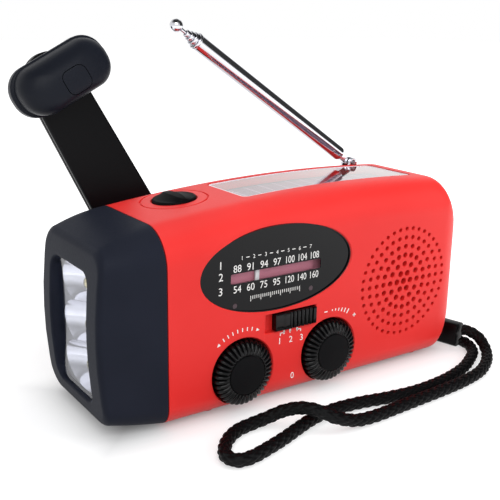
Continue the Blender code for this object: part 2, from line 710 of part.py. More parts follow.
def rear_shell(hollow, reach):
    rear = add("rear_shell", loft(body_rings(SEAM_X, 0.0, 0.0)), RED)
    cut(rear, hollow)
    side = box(-reach, reach, PARTING_Y + GAP / 2, reach, -reach, reach)
    change(rear, "INTERSECT", cutter("rear_side", side))
    axle = prism_y(circle(*IDLER, IDLER_AXLE_RADIUS, 16), IDLER_WHEEL_Y - GEAR_WIDTH, BACK - WALL + ROOT)
    boss = prism_z(circle(AERIAL_X, AERIAL_Y, AERIAL_BOSS_RADIUS, 20), AERIAL_BOSS_TOP - AERIAL_BOSS_HEIGHT,
                   AERIAL_BOSS_TOP + ROOT)
    pocket_wall = prism_y(pocket_outline(WALL), BACK - POCKET_DEPTH - WALL, BACK - WALL + ROOT)
    fuse(rear, cutter("rear_posts", joined(axle, boss)), cutter("pocket_wall", pocket_wall))
    head, shank = SCREW_HEAD + RUN_GAP, SCREW_SHANK + GAP
    seat = -SCREW_SUNK - SCREW_HEAD_HEIGHT - GAP
    low = -PARTING_FROM_BACK - CUT_PAST
    screw_hole = turned([(0, CUT_PAST), (head, CUT_PAST), (head, seat), (shank, seat), (shank, low),
                         (0, low)], 12)
    screw_holes = [moved(screw_hole, along_screw(x, BACK, z)) for x, z in SCREW_SPOTS]
    bearing = prism_y(circle(HUB_X, HUB_Z, CRANK_SHAFT_RADIUS + RUN_GAP, 24), PARTING_Y, BACK + CUT_PAST)
    bore, clear = AERIAL_STEM_RADIUS + GAP, AERIAL_BOSS_RADIUS + GAP
    under, over = -AERIAL_BOSS_HEIGHT - CUT_PAST, AERIAL_BOSS_SUNK + CUT_PAST
    seat = turned([(0, under), (bore, under), (bore, 0), (clear, 0), (clear, over), (0, over)], 20)
    aerial_hole = moved(seat, at(AERIAL_X, AERIAL_Y, AERIAL_BOSS_TOP))
    port = prism_y(rounded_rectangle(PORT_X - PORT_HALF_X, PORT_X + PORT_HALF_X, PORT_Z - PORT_HALF_Z,
                                     PORT_Z + PORT_HALF_Z, (PORT_CORNER,) * 4, 3),
                   BACK - PORT_COVER_THICKNESS - GAP, BACK + CUT_PAST)
    socket = box(PORT_X - SOCKET_HALF_X - GAP, PORT_X + SOCKET_HALF_X + GAP, PARTING_Y,
                 BACK - PORT_COVER_THICKNESS, PORT_Z - SOCKET_HALF_Z - GAP, PORT_Z + SOCKET_HALF_Z + GAP)
    pocket = prism_y(pocket_outline(0.0), BACK - POCKET_DEPTH, BACK + CUT_PAST)
    cut(rear, cutter("rear_openings", joined(bearing, aerial_hole, port, *screw_holes)),
        cutter("grip_pocket", pocket), cutter("socket_hole", socket))


def shells():
    hollow = cavity()
    reach = 2 * (BODY_RIGHT - TORCH_LEFT)
    front_shell(hollow, reach)
    rear_shell(hollow, reach)
    end = -SCREW_HEAD_HEIGHT - SCREW_LENGTH
    profile = [(0, 0), (SCREW_HEAD, 0), (SCREW_HEAD, -SCREW_HEAD_HEIGHT), (SCREW_SHANK, -SCREW_HEAD_HEIGHT),
               (SCREW_SHANK, end), (0, end)]
    for i, (x, z) in enumerate(SCREW_SPOTS, 1):
        add(f"housing_screw_{i}", turned(profile, 10), STEEL, along_screw(x, BACK - SCREW_SUNK, z))


# Torch head

def torch_ring(share, inset, edge=0.0, bow=0.0):
    # share 0 is the seam, 1 is the far end; bow 1 bends the ring back towards its top and bottom
    def mix(a, b):
        return a + (b - a) * share
    x = mix(SEAM_X - GAP, TORCH_LEFT)
    middle = (TORCH_LOW + TORCH_HIGH) / 2
    inset_all = inset + edge
    bottom = max(EDGE_BOTTOM - inset_all * 0.5, 1.0)
    outline = rounded_rectangle(mix(FRONT, TORCH_FRONT) + inset_all, mix(BACK, TORCH_BACK) - inset_all,
                                mix(0.0, TORCH_LOW) + max(inset_all, 0.0),
                                mix(top_z(SEAM_X), TORCH_HIGH) - inset_all,
                                (bottom, bottom, EDGE_TOP_BACK - inset, EDGE_TOP_FRONT - inset))
    return [(x + bow * (z - middle) ** 2 / (2 * TORCH_CROWN), y, z) for y, z in outline]


def window_outline(margin):
    return rounded_rectangle(WINDOW_FRONT - margin, WINDOW_BACK + margin, WINDOW_LOW - margin,
                             WINDOW_HIGH + margin, (WINDOW_CORNER + margin,) * 4, 4)


def torch():
    length = SEAM_X - GAP - TORCH_LEFT
    edge_share = TORCH_EDGE / length
    outer = [torch_ring(0.0, 0.0), torch_ring(TORCH_FULLEST, -TORCH_BULGE, 0.0, 0.3),
             torch_ring(1 - edge_share, 0.0, 0.0, 1.0),
             torch_ring(1 - 0.3 * edge_share, 0.0, TORCH_EDGE * 0.3, 1.0),
             torch_ring(1.0, 0.0, TORCH_EDGE, 1.0)]
    inner = [torch_ring(-0.1, WALL), torch_ring(TORCH_FULLEST, WALL - TORCH_BULGE),
             torch_ring(1 - TORCH_END_WALL / length, WALL)]
    bezel = add("torch_bezel", loft(outer, True), BLACK)
    end_x = TORCH_LEFT + TORCH_END_WALL
    cut(bezel, cutter("torch_hollow", loft(inner)),
        cutter("torch_window", prism_x(window_outline(0.0), TORCH_LEFT - CUT_PAST, end_x + ROOT)))
    lens_x = TORCH_LEFT + LENS_DEPTH
    add("torch_lens", prism_x(window_outline(-GAP), lens_x, lens_x + LENS_THICKNESS), CLEAR)
    lip_x = end_x + GAP
    cup_end = lip_x + CUP_DEPTH
    middle_y = (WINDOW_FRONT + WINDOW_BACK) / 2
    middle_z = (WINDOW_LOW + WINDOW_HIGH) / 2
    cups = [middle_z + CUP_PITCH * (i - (CUP_COUNT - 1) / 2) for i in range(CUP_COUNT)]
    reflector = add("torch_reflector", prism_x(window_outline(2 * GAP), lip_x, cup_end), CHROME)
    lip = prism_x(window_outline(REFLECTOR_LIP), lip_x, lip_x + REFLECTOR_LIP_THICKNESS)
    fuse(reflector, cutter("reflector_lip", lip))
    bore = LED_FLANGE + GAP
    bowl = [(0, -CUT_PAST), (CUP_RADIUS, -CUT_PAST)]
    bowl += [(bore + (CUP_RADIUS - bore) * math.sqrt(1 - share), CUP_DEPTH * share * CUP_FLOOR)
             for share in (0.0, 0.4, 0.8)]
    bowl += [(bore, CUP_DEPTH * CUP_FLOOR), (bore, CUP_DEPTH + CUT_PAST), (0, CUP_DEPTH + CUT_PAST)]
    facing = Matrix.Rotation(math.radians(90), 4, "Y")
    bowls = [moved(turned(bowl, 18), at(lip_x, middle_y, z) @ facing) for z in cups]
    cut(reflector, cutter("reflector_cups", joined(*bowls)))
    flange = LED_FLANGE_THICKNESS - LED_LENGTH
    half_dome = LED_RADIUS * math.sqrt(0.5)
    led = [(0, -LED_LENGTH), (LED_FLANGE, -LED_LENGTH), (LED_FLANGE, flange), (LED_RADIUS, flange),
           (LED_RADIUS, -LED_RADIUS), (half_dome, half_dome - LED_RADIUS), (0, 0)]
    board_x = cup_end + GAP
    for i, z in enumerate(cups, 1):
        add(f"torch_led_{i}", turned(led, 12), CLEAR,
            at(cup_end - LED_LENGTH, middle_y, z) @ Matrix.Rotation(math.radians(-90), 4, "Y"))
    add("led_board", prism_x(window_outline(-1.0), board_x, board_x + LED_BOARD_THICKNESS), BOARD)


def torch_switch():
    stem, stem_end = STEM_RADIUS - RUN_GAP, -TOP_WALL - SWITCH_STEM_REACH
    under = GAP - SWITCH_WELL_DEPTH
    disc = [(0, stem_end), (stem, stem_end), (stem, under), (SWITCH_RADIUS, under),
            (SWITCH_RADIUS, SWITCH_RIM - SWITCH_EDGE + 0.1), (SWITCH_RADIUS - SWITCH_EDGE, SWITCH_RIM),
            (0, SWITCH_RIM)]
    knob = add("torch_knob", turned(disc, 24), BLACK, SWITCH_FRAME)
    # finger bar with concave flanks, drawn across and carried along its length
    foot = SWITCH_RADIUS * SWITCH_BAR_REACH
    flank = [(foot + (SWITCH_BAR_HALF - foot) * s, SWITCH_BAR * s ** 1.6)
             for s in (0.0, 0.35, 0.65, 0.9, 1.0)]
    across = [(foot, -0.4)] + flank + [(-x, z) for x, z in reversed(flank)] + [(-foot, -0.4)]
    rings = []
    for y, wide, tall in ((-0.86, 0.45, 0.5), (-0.6, 0.85, 0.92), (0.0, 1.0, 1.0), (0.6, 0.85, 0.92),
                          (0.86, 0.45, 0.5)):
        rings.append([(x * wide, y * SWITCH_RADIUS, SWITCH_RIM + (z * tall if z > 0 else z))
                      for x, z in across])
    fuse(knob, cutter("finger_bar", loft(rings), SWITCH_FRAME))
    half = SWITCH_BODY / 2
    top = -TOP_WALL - SWITCH_BODY_DROP
    case = box(-half, half, -half, half, top - SWITCH_BODY_HEIGHT, top)
    body = add("torch_switch", case, BLACK, SWITCH_FRAME)
    bore = prism_z(circle(0, 0, STEM_RADIUS, 16), stem_end - ROOT, 0)
    cut(body, cutter("torch_switch_bore", bore, SWITCH_FRAME))


# Dial, knobs and band switch

def dial():
    lens_y = FRONT + DIAL_RECESS
    plate_y = lens_y + DIAL_LENS_THICKNESS + GAP + POINTER_THICKNESS + GAP
    plate_end = plate_y + DIAL_PLATE_THICKNESS
    outline = ellipse(DIAL_X, DIAL_Z, DIAL_HALF_X - GAP, DIAL_HALF_Z - GAP, 40)
    add("dial_lens", prism_y(outline, lens_y, lens_y + DIAL_LENS_THICKNESS), GLOSS)
    plate = add("dial_plate", prism_y(outline, plate_y, plate_end), BLACK)
    tall, stem = POINTER_HEIGHT / 2, POINTER_STEM / 2
    half = POINTER_WIDTH / 2
    slot = box(POINTER_LEFT - half - GAP, POINTER_RIGHT + half + GAP, plate_y - CUT_PAST,
               plate_end + CUT_PAST, POINTER_Z - stem - GAP, POINTER_Z + stem + GAP)
    cut(plate, cutter("pointer_slot", slot))
    front, back = plate_y - GAP, plate_end + GAP
    face, carriage = front - POINTER_THICKNESS, back + POINTER_SLIDE
    section = [(face, -tall), (front, -tall), (front, -stem), (back, -stem), (back, -tall),
               (carriage, -tall), (carriage, tall), (back, tall), (back, stem), (front, stem), (front, tall),
               (face, tall)]
    add("dial_pointer", prism_x(section, -half, half), WHITE, at(POINTER_X, 0, POINTER_Z))


def fluted_knob(name, x):
    # a turned knob whose rim is pressed into flutes: every second point round the rim lies deeper
    sides = KNOB_FLUTES * 2
    face = WELL_DEPTH - GAP + KNOB_STANDS_OUT
    rim = [(KNOB_RADIUS, 0, 0.6), (KNOB_RADIUS, face - KNOB_SHOULDER, 1),
           (KNOB_RADIUS - KNOB_BEVEL, face - KNOB_BEVEL_DROP, 0.8),
           (KNOB_FACE + KNOB_LIP, face - KNOB_LIP, 0), (KNOB_FACE, face, 0)]
    rings = []
    for radius, height, deep in rim:
        reach = [radius - FLUTE_DEPTH * deep * (i % 2) for i in range(sides)]
        rings.append([(r * math.cos(2 * math.pi * i / sides), r * math.sin(2 * math.pi * i / sides), height)
                      for i, r in enumerate(reach)])
    place = along_y(x, WELL_BOTTOM_Y - GAP, KNOB_Z)
    knob = add(name, loft(rings), BLACK, place)
    fuse(knob, cutter(name + "_stem", prism_z(circle(0, 0, STEM_RADIUS, 16), -STEM_LENGTH, ROOT), place))


def controls():
    fluted_knob("tuning_knob", TUNING_X)
    fluted_knob("volume_knob", VOLUME_X)
    front = WELL_BACK_Y + GAP
    back = BOARD_Y - GAP
    half = CAPACITOR_WIDTH / 2
    radius = STEM_RADIUS + RUN_GAP
    bore = turned([(0, CUT_PAST), (radius, CUT_PAST), (radius, -STEM_LENGTH), (0, -STEM_LENGTH)], 16)
    case = box(TUNING_X - half, TUNING_X + half, front, back, KNOB_Z - half, KNOB_Z + half)
    capacitor = add("tuning_capacitor", case, WHITE)
    can = turned([(0, 0), (POT_RADIUS, 0), (POT_RADIUS, front - back), (0, front - back)], 20)
    pot = add("volume_control", moved(can, along_y(VOLUME_X, front, KNOB_Z)), STEEL)
    cut(capacitor, cutter("capacitor_bore", moved(bore, along_y(TUNING_X, front, KNOB_Z))))
    cut(pot, cutter("volume_bore", moved(bore, along_y(VOLUME_X, front, KNOB_Z))))


def band_switch():
    face = FRONT - BAND_STANDS_OUT
    floor = FRONT + SLOT_DEPTH - GAP
    # V ridges across the right half of the cap, drawn in x and y and carried up z
    ridge_from, ridge_to = BAND_LEFT + BAND_LENGTH * BAND_PLAIN, BAND_RIGHT - BAND_PLAIN_END
    pitch = (ridge_to - ridge_from) / BAND_RIDGES
    outline = [(BAND_LEFT, floor), (BAND_LEFT, face + BAND_EDGE), (BAND_LEFT + BAND_EDGE, face)]
    for i in range(BAND_RIDGES):
        start = ridge_from + pitch * i
        outline += [(start, face), (start + pitch / 2, face + BAND_RIDGE_DEPTH)]
    outline += [(ridge_to, face), (BAND_RIGHT - BAND_EDGE, face), (BAND_RIGHT, face + BAND_EDGE),
                (BAND_RIGHT, floor)]
    local = [(x - BAND_X, y) for x, y in outline]
    place = at(BAND_X, 0, BAND_Z)
    tall = (SLOT_HIGH - SLOT_LOW) / 2 - GAP
    cap = add("band_slider", prism_z(local, -tall, tall), BLACK, place)
    stem_end = FRONT + WALL + SLOT_PAD + GAP + BAND_STEM_LENGTH
    half_x, half_z = BAND_STEM_X / 2, BAND_STEM_Z / 2
    fuse(cap, cutter("band_stem", box(-half_x, half_x, floor - ROOT, stem_end, -half_z, half_z), place))
    body = add("band_switch", slot_box(-GAP, FRONT + WALL + SLOT_PAD + GAP, BOARD_Y - GAP), STEEL)
    cut(body, cutter("band_switch_slot", band_stem_slot(FRONT + WALL, stem_end + GAP)))


# Loudspeaker

def loudspeaker():
    frame = along_screw(GRILLE_X, FRONT + WALL + GAP, GRILLE_Z)
    sheet, deep = SPEAKER_SHEET, SPEAKER_DEPTH
    basket = [(SPEAKER_RADIUS, 0), (SPEAKER_RADIUS, sheet), (CONE_RADIUS + sheet, sheet),
              (MAGNET_RADIUS + 1, deep), (POLE_RADIUS, deep), (POLE_RADIUS, deep - sheet),
              (MAGNET_RADIUS + 0.4, deep - sheet), (CONE_RADIUS, 0)]
    add("speaker_basket", turned(basket, 20, True), STEEL, frame)
    # dust cap, paper, half-round edge, then the back of the paper and the coil
    rim, low, coil = CONE_RADIUS - 1.3, CONE_DEPTH, SPEAKER_DEPTH + 1
    cone = [(0, low - 2.6), (COIL_RADIUS + 0.4, low - CONE_SHEET), (rim - 2.0, CONE_SHEET), (rim - 1.0, 0.5),
            (rim, 0.9), (rim - 0.4, 1.5), (rim - 1.6, CONE_SHEET + 1.0), (COIL_RADIUS + CONE_SHEET, low),
            (COIL_RADIUS, low), (COIL_RADIUS, coil), (0, coil)]
    add("speaker_cone", turned(cone, 16), PAPER, frame)
    start, end = deep + GAP, deep + MAGNET_DEPTH
    pole = deep + POLE_SUNK
    magnet = [(POLE_RADIUS, start), (MAGNET_RADIUS, start), (MAGNET_RADIUS, end), (0, end), (0, pole),
              (POLE_RADIUS, pole)]
    add("speaker_magnet", turned(magnet, 20, True), STEEL, frame)


# Solar panel under its clear window, both following the arched top

def arched_plate(outline_margin, corner, top, thickness):
    step_count = 8
    left, right = SOLAR_LEFT - outline_margin, SOLAR_RIGHT + outline_margin
    rings = []
    for i in range(step_count + 1):
        x = left + (right - left) * i / step_count
        trim = corner if i in (0, step_count) else 0.0
        y0, y1 = SOLAR_FRONT - outline_margin + trim, SOLAR_BACK + outline_margin - trim
        z = top_z(x) - top
        rings.append([(x, y0, z), (x, y1, z), (x, y1, z - thickness), (x, y0, z - thickness)])
    return loft(rings)


def solar():
    add("solar_window", arched_plate(-GAP, SOLAR_CORNER / 2, SOLAR_SUNK, SOLAR_WINDOW_THICKNESS), CLEAR)
    add("solar_panel", arched_plate(SOLAR_LIP, 0.0, TOP_WALL + GAP, SOLAR_PANEL_THICKNESS), SILICON)


# Boards, cell, ferrite rod and port

def inside():
    board_back = BOARD_Y + BOARD_THICKNESS
    add("main_board", box(BOARD_LEFT, BOARD_RIGHT, BOARD_Y, board_back, BOARD_LOW, BOARD_HIGH), BOARD)
    rod_y = board_back + GAP + ROD_RADIUS
    add("ferrite_rod", prism_x(circle(rod_y, ROD_Z, ROD_RADIUS, 16), ROD_LEFT, ROD_RIGHT), FERRITE)
    cell_back = BACK - POCKET_DEPTH - WALL - GAP
    cell = rounded_rectangle(cell_back - CELL_THICKNESS, cell_back, *CELL_Z, (CELL_EDGE,) * 4, 3)
    add("battery_cell", prism_x(cell, *CELL_X), FOIL)
    half_x, half_z = SOCKET_HALF_X, SOCKET_HALF_Z
    face = BACK - PORT_COVER_THICKNESS - 2 * GAP
    socket = add("charge_socket", box(PORT_X - half_x, PORT_X + half_x, face - SOCKET_DEPTH, face,
                                      PORT_Z - half_z, PORT_Z + half_z), STEEL)
    mouth_x, mouth_z = half_x - SOCKET_SHEET, half_z - SOCKET_SHEET
    cut(socket, cutter("charge_socket_mouth", box(
        PORT_X - mouth_x, PORT_X + mouth_x, face - SOCKET_DEPTH + SOCKET_BACK, face + CUT_PAST,
        PORT_Z - mouth_z, PORT_Z + mouth_z)))
    wide = PORT_HALF_X - GAP
    cover = rounded_rectangle(-wide, wide, 0.0, 2 * (PORT_HALF_Z - GAP), (PORT_CORNER - GAP,) * 4, 3)
    add("port_cover", prism_y(cover, -PORT_COVER_THICKNESS, 0.0), RUBBER,
        at(PORT_X, BACK, PORT_Z - PORT_HALF_Z + GAP))


# Crank: hub on the rear, arm that folds on the hub, grip that spins on the arm

def crank_frames():
    swing, lean = math.radians(CRANK_SWING), math.radians(CRANK_LEAN)
    across = Vector((math.cos(swing), 0, math.sin(swing)))
    up = Vector((-math.sin(swing), 0, math.cos(swing)))
    back = Vector((0, 1, 0))
    along = up * math.cos(lean) + back * math.sin(lean)
    inward = -back * math.cos(lean) + up * math.sin(lean)
    arm = Matrix((across, along, inward)).transposed().to_4x4()
    arm.translation = (HUB_X, PIN_Y, HUB_Z)
    hub = Matrix((across, up, -back)).transposed().to_4x4()
    hub.translation = (HUB_X, PIN_Y, HUB_Z)
    return hub, arm


def grip_outline(scale):
    length, width = GRIP_HALF_LENGTH * scale, GRIP_HALF_WIDTH * scale
    corner = width * 0.92
    return rounded_rectangle(GRIP_SHIFT - length, GRIP_SHIFT + length, -width, width, (corner,) * 4, 5)


def plug_outline(margin):
    half_x, half_y = PLUG_HALF_LENGTH + margin, PLUG_HALF_WIDTH + margin
    return rounded_rectangle(PLUG_ALONG - half_x, PLUG_ALONG + half_x, PLUG_ACROSS - half_y,
                             PLUG_ACROSS + half_y, (PLUG_CORNER + margin,) * 4, 3)


def crank():
    hub_frame, arm_frame = crank_frames()
    disc_top = PIN_Y - BACK - RUN_GAP          # heights in the hub frame run towards the body
    disc_low = disc_top - HUB_THICKNESS
    disc = [(0, disc_low), (HUB_RADIUS - HUB_EDGE, disc_low), (HUB_RADIUS, disc_low + 1.0),
            (HUB_RADIUS, disc_top), (0, disc_top)]
    hub = add("crank_hub", turned(disc, 28), BLACK, hub_frame)
    half = HUB_LUG_WIDTH / 2
    root = disc_low + ROOT
    lug = arc(0, 0, HUB_LUG_HALF, 180, 360, 8) + [(HUB_LUG_HALF, root), (-HUB_LUG_HALF, root)]
    fuse(hub, cutter("hub_lug", prism_x(lug, -half, half), hub_frame))
    pin_hole = prism_x(circle(0, 0, PIN_RADIUS + GAP, 16), -ARM_WIDTH, ARM_WIDTH)
    cut(hub, cutter("hub_pin_hole", pin_hole, hub_frame))
    wide, tip, thick = ARM_WIDTH / 2, ARM_TIP_WIDTH / 2, ARM_THICKNESS / 2
    pin_half = wide - PIN_SHORT
    add("crank_pin", prism_x(circle(0, 0, PIN_RADIUS, 16), -pin_half, pin_half), STEEL, hub_frame)
    outline = [(-wide, -ARM_HEEL), (wide, -ARM_HEEL)] + arc(0, ARM_LENGTH, tip, 0, 180, 14)
    arm = add("crank_arm", prism_z(outline, -thick, thick), BLACK, arm_frame)
    slot_half = half + GAP
    past = thick + CUT_PAST
    slot = box(-slot_half, slot_half, -ARM_HEEL - CUT_PAST, ARM_SLOT_LENGTH, -past, past)
    grip_hole = prism_z(circle(0, ARM_LENGTH, GRIP_PIN_RADIUS + GAP, 20), -past, past)
    cut(arm, cutter("arm_slot", slot, arm_frame),
        cutter("arm_holes", joined(pin_hole, grip_hole), arm_frame))
    pin_frame = arm_frame @ at(0, ARM_LENGTH, 0)
    grip(pin_frame, thick)


def grip(pin_frame, thick):
    cap_high = -thick - GAP
    cap_low = cap_high - GRIP_CAP_THICKNESS
    pin_end = thick + GRIP_PIN_REACH
    pin = [(0, cap_low), (GRIP_CAP_RADIUS - GRIP_CAP_EDGE, cap_low),
           (GRIP_CAP_RADIUS, cap_low + GRIP_CAP_EDGE), (GRIP_CAP_RADIUS, cap_high),
           (GRIP_PIN_RADIUS, cap_high), (GRIP_PIN_RADIUS, pin_end), (0, pin_end)]
    add("grip_pin", turned(pin, 20), BLACK, pin_frame)
    frame = pin_frame @ Matrix.Rotation(math.radians(GRIP_TURN), 4, "Z")
    low = thick + GAP
    rise = GRIP_DEPTH - GRIP_RIM
    bulge = 1 - GRIP_STEP / GRIP_HALF_WIDTH
    levels = [(0, 0.97), (0.3, 1.0), (GRIP_RIM, 1.0), (GRIP_RIM + 0.2, bulge)]
    for turn in (35, 60, 78, 90):
        a = math.radians(turn)
        levels.append((GRIP_RIM + rise * math.sin(a), bulge - (bulge - GRIP_TOP) * (1 - math.cos(a))))
    rings = [[(x, y, low + h) for x, y in grip_outline(s)] for h, s in levels]
    handle = add("crank_grip", loft(rings), BLACK, frame)
    top = low + GRIP_DEPTH
    plug_low = top - PLUG_DEPTH
    bore = prism_z(circle(0, 0, GRIP_PIN_RADIUS + GAP, 20), low - CUT_PAST, pin_end + GAP)
    seat = prism_z(plug_outline(GAP), plug_low - GAP, top + CUT_PAST)
    cut(handle, cutter("grip_bore", bore, frame), cutter("plug_hole", seat, frame))
    add("grip_plug", prism_z(plug_outline(0.0), plug_low, top - PLUG_SUNK), BLACK, frame)


# Gears with involute flanks, thinned for backlash

def gear_outline(teeth, phase):
    pitch = GEAR_MODULE * teeth / 2
    pressure = math.radians(GEAR_PRESSURE)
    base = pitch * math.cos(pressure)
    tip = pitch + GEAR_ADDENDUM * GEAR_MODULE
    root = pitch - GEAR_DEDENDUM * GEAR_MODULE
    half_tooth = math.pi / (2 * teeth) - GEAR_BACKLASH / (2 * pitch)

    def involute(radius):
        turn = math.acos(min(1.0, base / radius))
        return math.tan(turn) - turn

    at_pitch = involute(pitch)
    # flanks this short are so nearly straight that their two ends are enough
    radii = (max(root, base), tip)
    flank = [(radius, half_tooth + at_pitch - involute(radius)) for radius in radii]
    outline = []
    for i in range(teeth):
        middle = phase + 2 * math.pi * i / teeth
        side = [(root, middle - flank[0][1])] + [(r, middle - a) for r, a in flank]
        side += [(r, middle + a) for r, a in reversed(flank)] + [(root, middle + flank[0][1])]
        for r, a in side:
            point = (r * math.cos(a), r * math.sin(a))
            if not outline or math.dist(point, outline[-1]) > 0.01:
                outline.append(point)
    return outline


def gears():
    # a tooth of the driver and a gap of the driven gear meet on the line between their centres
    first, second = math.radians(IDLER_ANGLE), math.radians(ROTOR_ANGLE)
    gap = math.pi / GEAR_PINION_TEETH
    crank_end = CRANK_GEAR_Y + GEAR_WIDTH
    wheel_y, wheel_end = IDLER_WHEEL_Y, IDLER_WHEEL_Y + GEAR_WIDTH
    hub, middle, rotor_place = at(HUB_X, 0, HUB_Z), at(IDLER[0], 0, IDLER[1]), at(ROTOR[0], 0, ROTOR[1])
    teeth = prism_y(gear_outline(GEAR_WHEEL_TEETH, first), CRANK_GEAR_Y, crank_end)
    shaft = prism_y(circle(0, 0, CRANK_SHAFT_RADIUS, 20), CRANK_GEAR_Y - 2.0, BACK + RUN_GAP - GAP)
    wheel = add("crank_gear", teeth, NYLON, hub)
    fuse(wheel, cutter("crank_shaft", shaft, hub))
    teeth = prism_y(gear_outline(GEAR_WHEEL_TEETH, second), wheel_y, wheel_end)
    pinion = prism_y(gear_outline(GEAR_PINION_TEETH, first + math.pi + gap), wheel_end - ROOT,
                     crank_end + GEAR_OVERLAP)
    bore = prism_y(circle(0, 0, IDLER_AXLE_RADIUS + GAP, 16), wheel_y - CUT_PAST, BACK)
    idler = add("idler_gear", teeth, NYLON, middle)
    fuse(idler, cutter("idler_pinion", pinion, middle))
    cut(idler, cutter("idler_bore", bore, middle))
    can_back = wheel_y - 2 * GEAR_OVERLAP
    can_front = BOARD_Y + BOARD_THICKNESS + GAP
    teeth = prism_y(gear_outline(GEAR_PINION_TEETH, second + math.pi + gap), wheel_y - GEAR_OVERLAP,
                    wheel_end + GEAR_OVERLAP)
    shaft = prism_y(circle(0, 0, ROTOR_SHAFT_RADIUS, 12), can_back - ROTOR_SHAFT_REACH, wheel_y)
    rotor = add("generator_rotor", teeth, STEEL, rotor_place)
    fuse(rotor, cutter("rotor_shaft", shaft, rotor_place))
    can = add("generator_can", prism_y(circle(*ROTOR, GENERATOR_RADIUS, 28), can_front, can_back), STEEL)
    bore = prism_y(circle(*ROTOR, ROTOR_SHAFT_RADIUS + GAP, 12), can_back - ROTOR_SHAFT_REACH - GAP,
                   can_back + CUT_PAST)
    cut(can, cutter("generator_bore", bore))


# Telescopic aerial

def aerial():
    swivel = at(AERIAL_X, AERIAL_Y, AERIAL_PIVOT_Z)
    bottom = AERIAL_BOSS_TOP + GAP - AERIAL_PIVOT_Z
    plate = bottom + AERIAL_BASE_THICKNESS
    stem_end = bottom - AERIAL_STEM_LENGTH
    foot = [(0, stem_end), (AERIAL_STEM_RADIUS, stem_end), (AERIAL_STEM_RADIUS, bottom),
            (AERIAL_BASE_RADIUS, bottom), (AERIAL_BASE_RADIUS, plate), (0, plate)]
    base = add("aerial_base", turned(foot, 20), CHROME, swivel)
    half = AERIAL_EAR_HALF
    inner = AERIAL_TONGUE / 2 + GAP
    outer = inner + AERIAL_EAR
    side = [(-half, plate - ROOT), (half, plate - ROOT)] + arc(0, 0, half, 0, 180, 8)
    ears = joined(prism_y(side, inner, outer), prism_y(side, -outer, -inner))
    fuse(base, cutter("aerial_ears", ears, swivel))
    pin_hole = prism_y(circle(0, 0, AERIAL_PIN_RADIUS + SLIDE_GAP, 12), -outer - CUT_PAST, outer + CUT_PAST)
    cut(base, cutter("aerial_ear_holes", pin_hole, swivel))
    reach = outer + PIN_SHORT
    add("aerial_pin", prism_y(circle(0, 0, AERIAL_PIN_RADIUS, 12), -reach, reach), STEEL, swivel)
    # the aerial's own frame: its x runs along the tubes to the tip
    tilt = swivel @ Matrix.Rotation(math.radians(180 + AERIAL_TILT), 4, "Y")
    lie = Matrix.Rotation(math.radians(90), 4, "Y")
    radius = AERIAL_RADII[0]
    bore = radius - AERIAL_WALL
    plug = AERIAL_TUBE_START + AERIAL_PLUG
    tube = [(0, AERIAL_TUBE_START), (radius, AERIAL_TUBE_START), (radius, AERIAL_TUBE_END),
            (bore, AERIAL_TUBE_END), (bore, plug), (0, plug)]
    first = add("aerial_tube_1", moved(turned(tube, 20), lie), CHROME, tilt)
    tongue_half = AERIAL_TONGUE_HALF
    root = AERIAL_TUBE_START + ROOT
    tongue = arc(0, 0, tongue_half, 90, 270, 8) + [(root, -tongue_half), (root, tongue_half)]
    fuse(first, cutter("aerial_tongue", prism_y(tongue, -AERIAL_TONGUE / 2, AERIAL_TONGUE / 2), tilt))
    cut(first, cutter("aerial_pin_hole", pin_hole, tilt))
    for i, radius in enumerate(AERIAL_RADII[1:], 2):
        end = AERIAL_TUBE_END + AERIAL_STEP * (i - 1)
        start = end - AERIAL_INNER_LENGTH
        bore = radius - AERIAL_WALL
        wall = [(radius, start), (radius, end), (bore, end), (bore, start)]
        add(f"aerial_tube_{i}", moved(turned(wall, 16, True), lie), CHROME, tilt)
    ball = AERIAL_TIP_RADIUS
    neck = AERIAL_TIP_S - ball
    start = neck - AERIAL_INNER_LENGTH
    rod = [(0, start), (AERIAL_ROD_RADIUS, start), (AERIAL_ROD_RADIUS, neck + 0.2)]
    rod += [(x, AERIAL_TIP_S + s) for x, s in arc(0, 0, ball, -60, 60, 4)]
    rod += [(0, AERIAL_TIP_S + ball)]
    add("aerial_rod", moved(turned(rod, 16), lie), CHROME, tilt)


# Wrist strap

def smooth_route(points, pitch):
    # Catmull-Rom curve through the route, read at an even pitch
    line = [Vector(p) for p in points]
    padded = [2 * line[0] - line[1]] + line + [2 * line[-1] - line[-2]]
    fine = []
    for k in range(1, len(padded) - 2):
        a, b, c, d = padded[k - 1:k + 3]
        for i in range(20):
            t = i / 20
            square, cube = 2 * a - 5 * b + 4 * c - d, 3 * b - a - 3 * c + d
            fine.append(0.5 * (2 * b + (c - a) * t + square * t * t + cube * t ** 3))
    fine.append(line[-1])
    lengths = [0.0]
    for p, q in zip(fine, fine[1:]):
        lengths.append(lengths[-1] + (q - p).length)
    count = round(lengths[-1] / pitch)
    out, k = [], 0
    for i in range(count + 1):
        goal = lengths[-1] * i / count
        while k < len(fine) - 2 and lengths[k + 1] < goal:
            k += 1
        share = (goal - lengths[k]) / (lengths[k + 1] - lengths[k])
        out.append(fine[k].lerp(fine[k + 1], min(share, 1.0)))
    return out, lengths[-1]


def cord(name, points, radius, pitch):
    route, length = smooth_route(points, pitch)
    data = bpy.data.curves.new(name, "CURVE")
    data.dimensions = "3D"
    data.bevel_depth = radius * MM
    data.bevel_resolution = 2
    data.use_fill_caps = True
    spline = data.splines.new("POLY")
    spline.points.add(len(route) - 1)
    for point, spot in zip(spline.points, route):
        point.co = (spot.x * MM, spot.y * MM, spot.z * MM, 1.0)
    data.materials.append(BRAID)
    made = bpy.data.objects.new(name, data)
    bpy.context.scene.collection.objects.link(made)
    print(name, "length", round(length, 1), "mm")


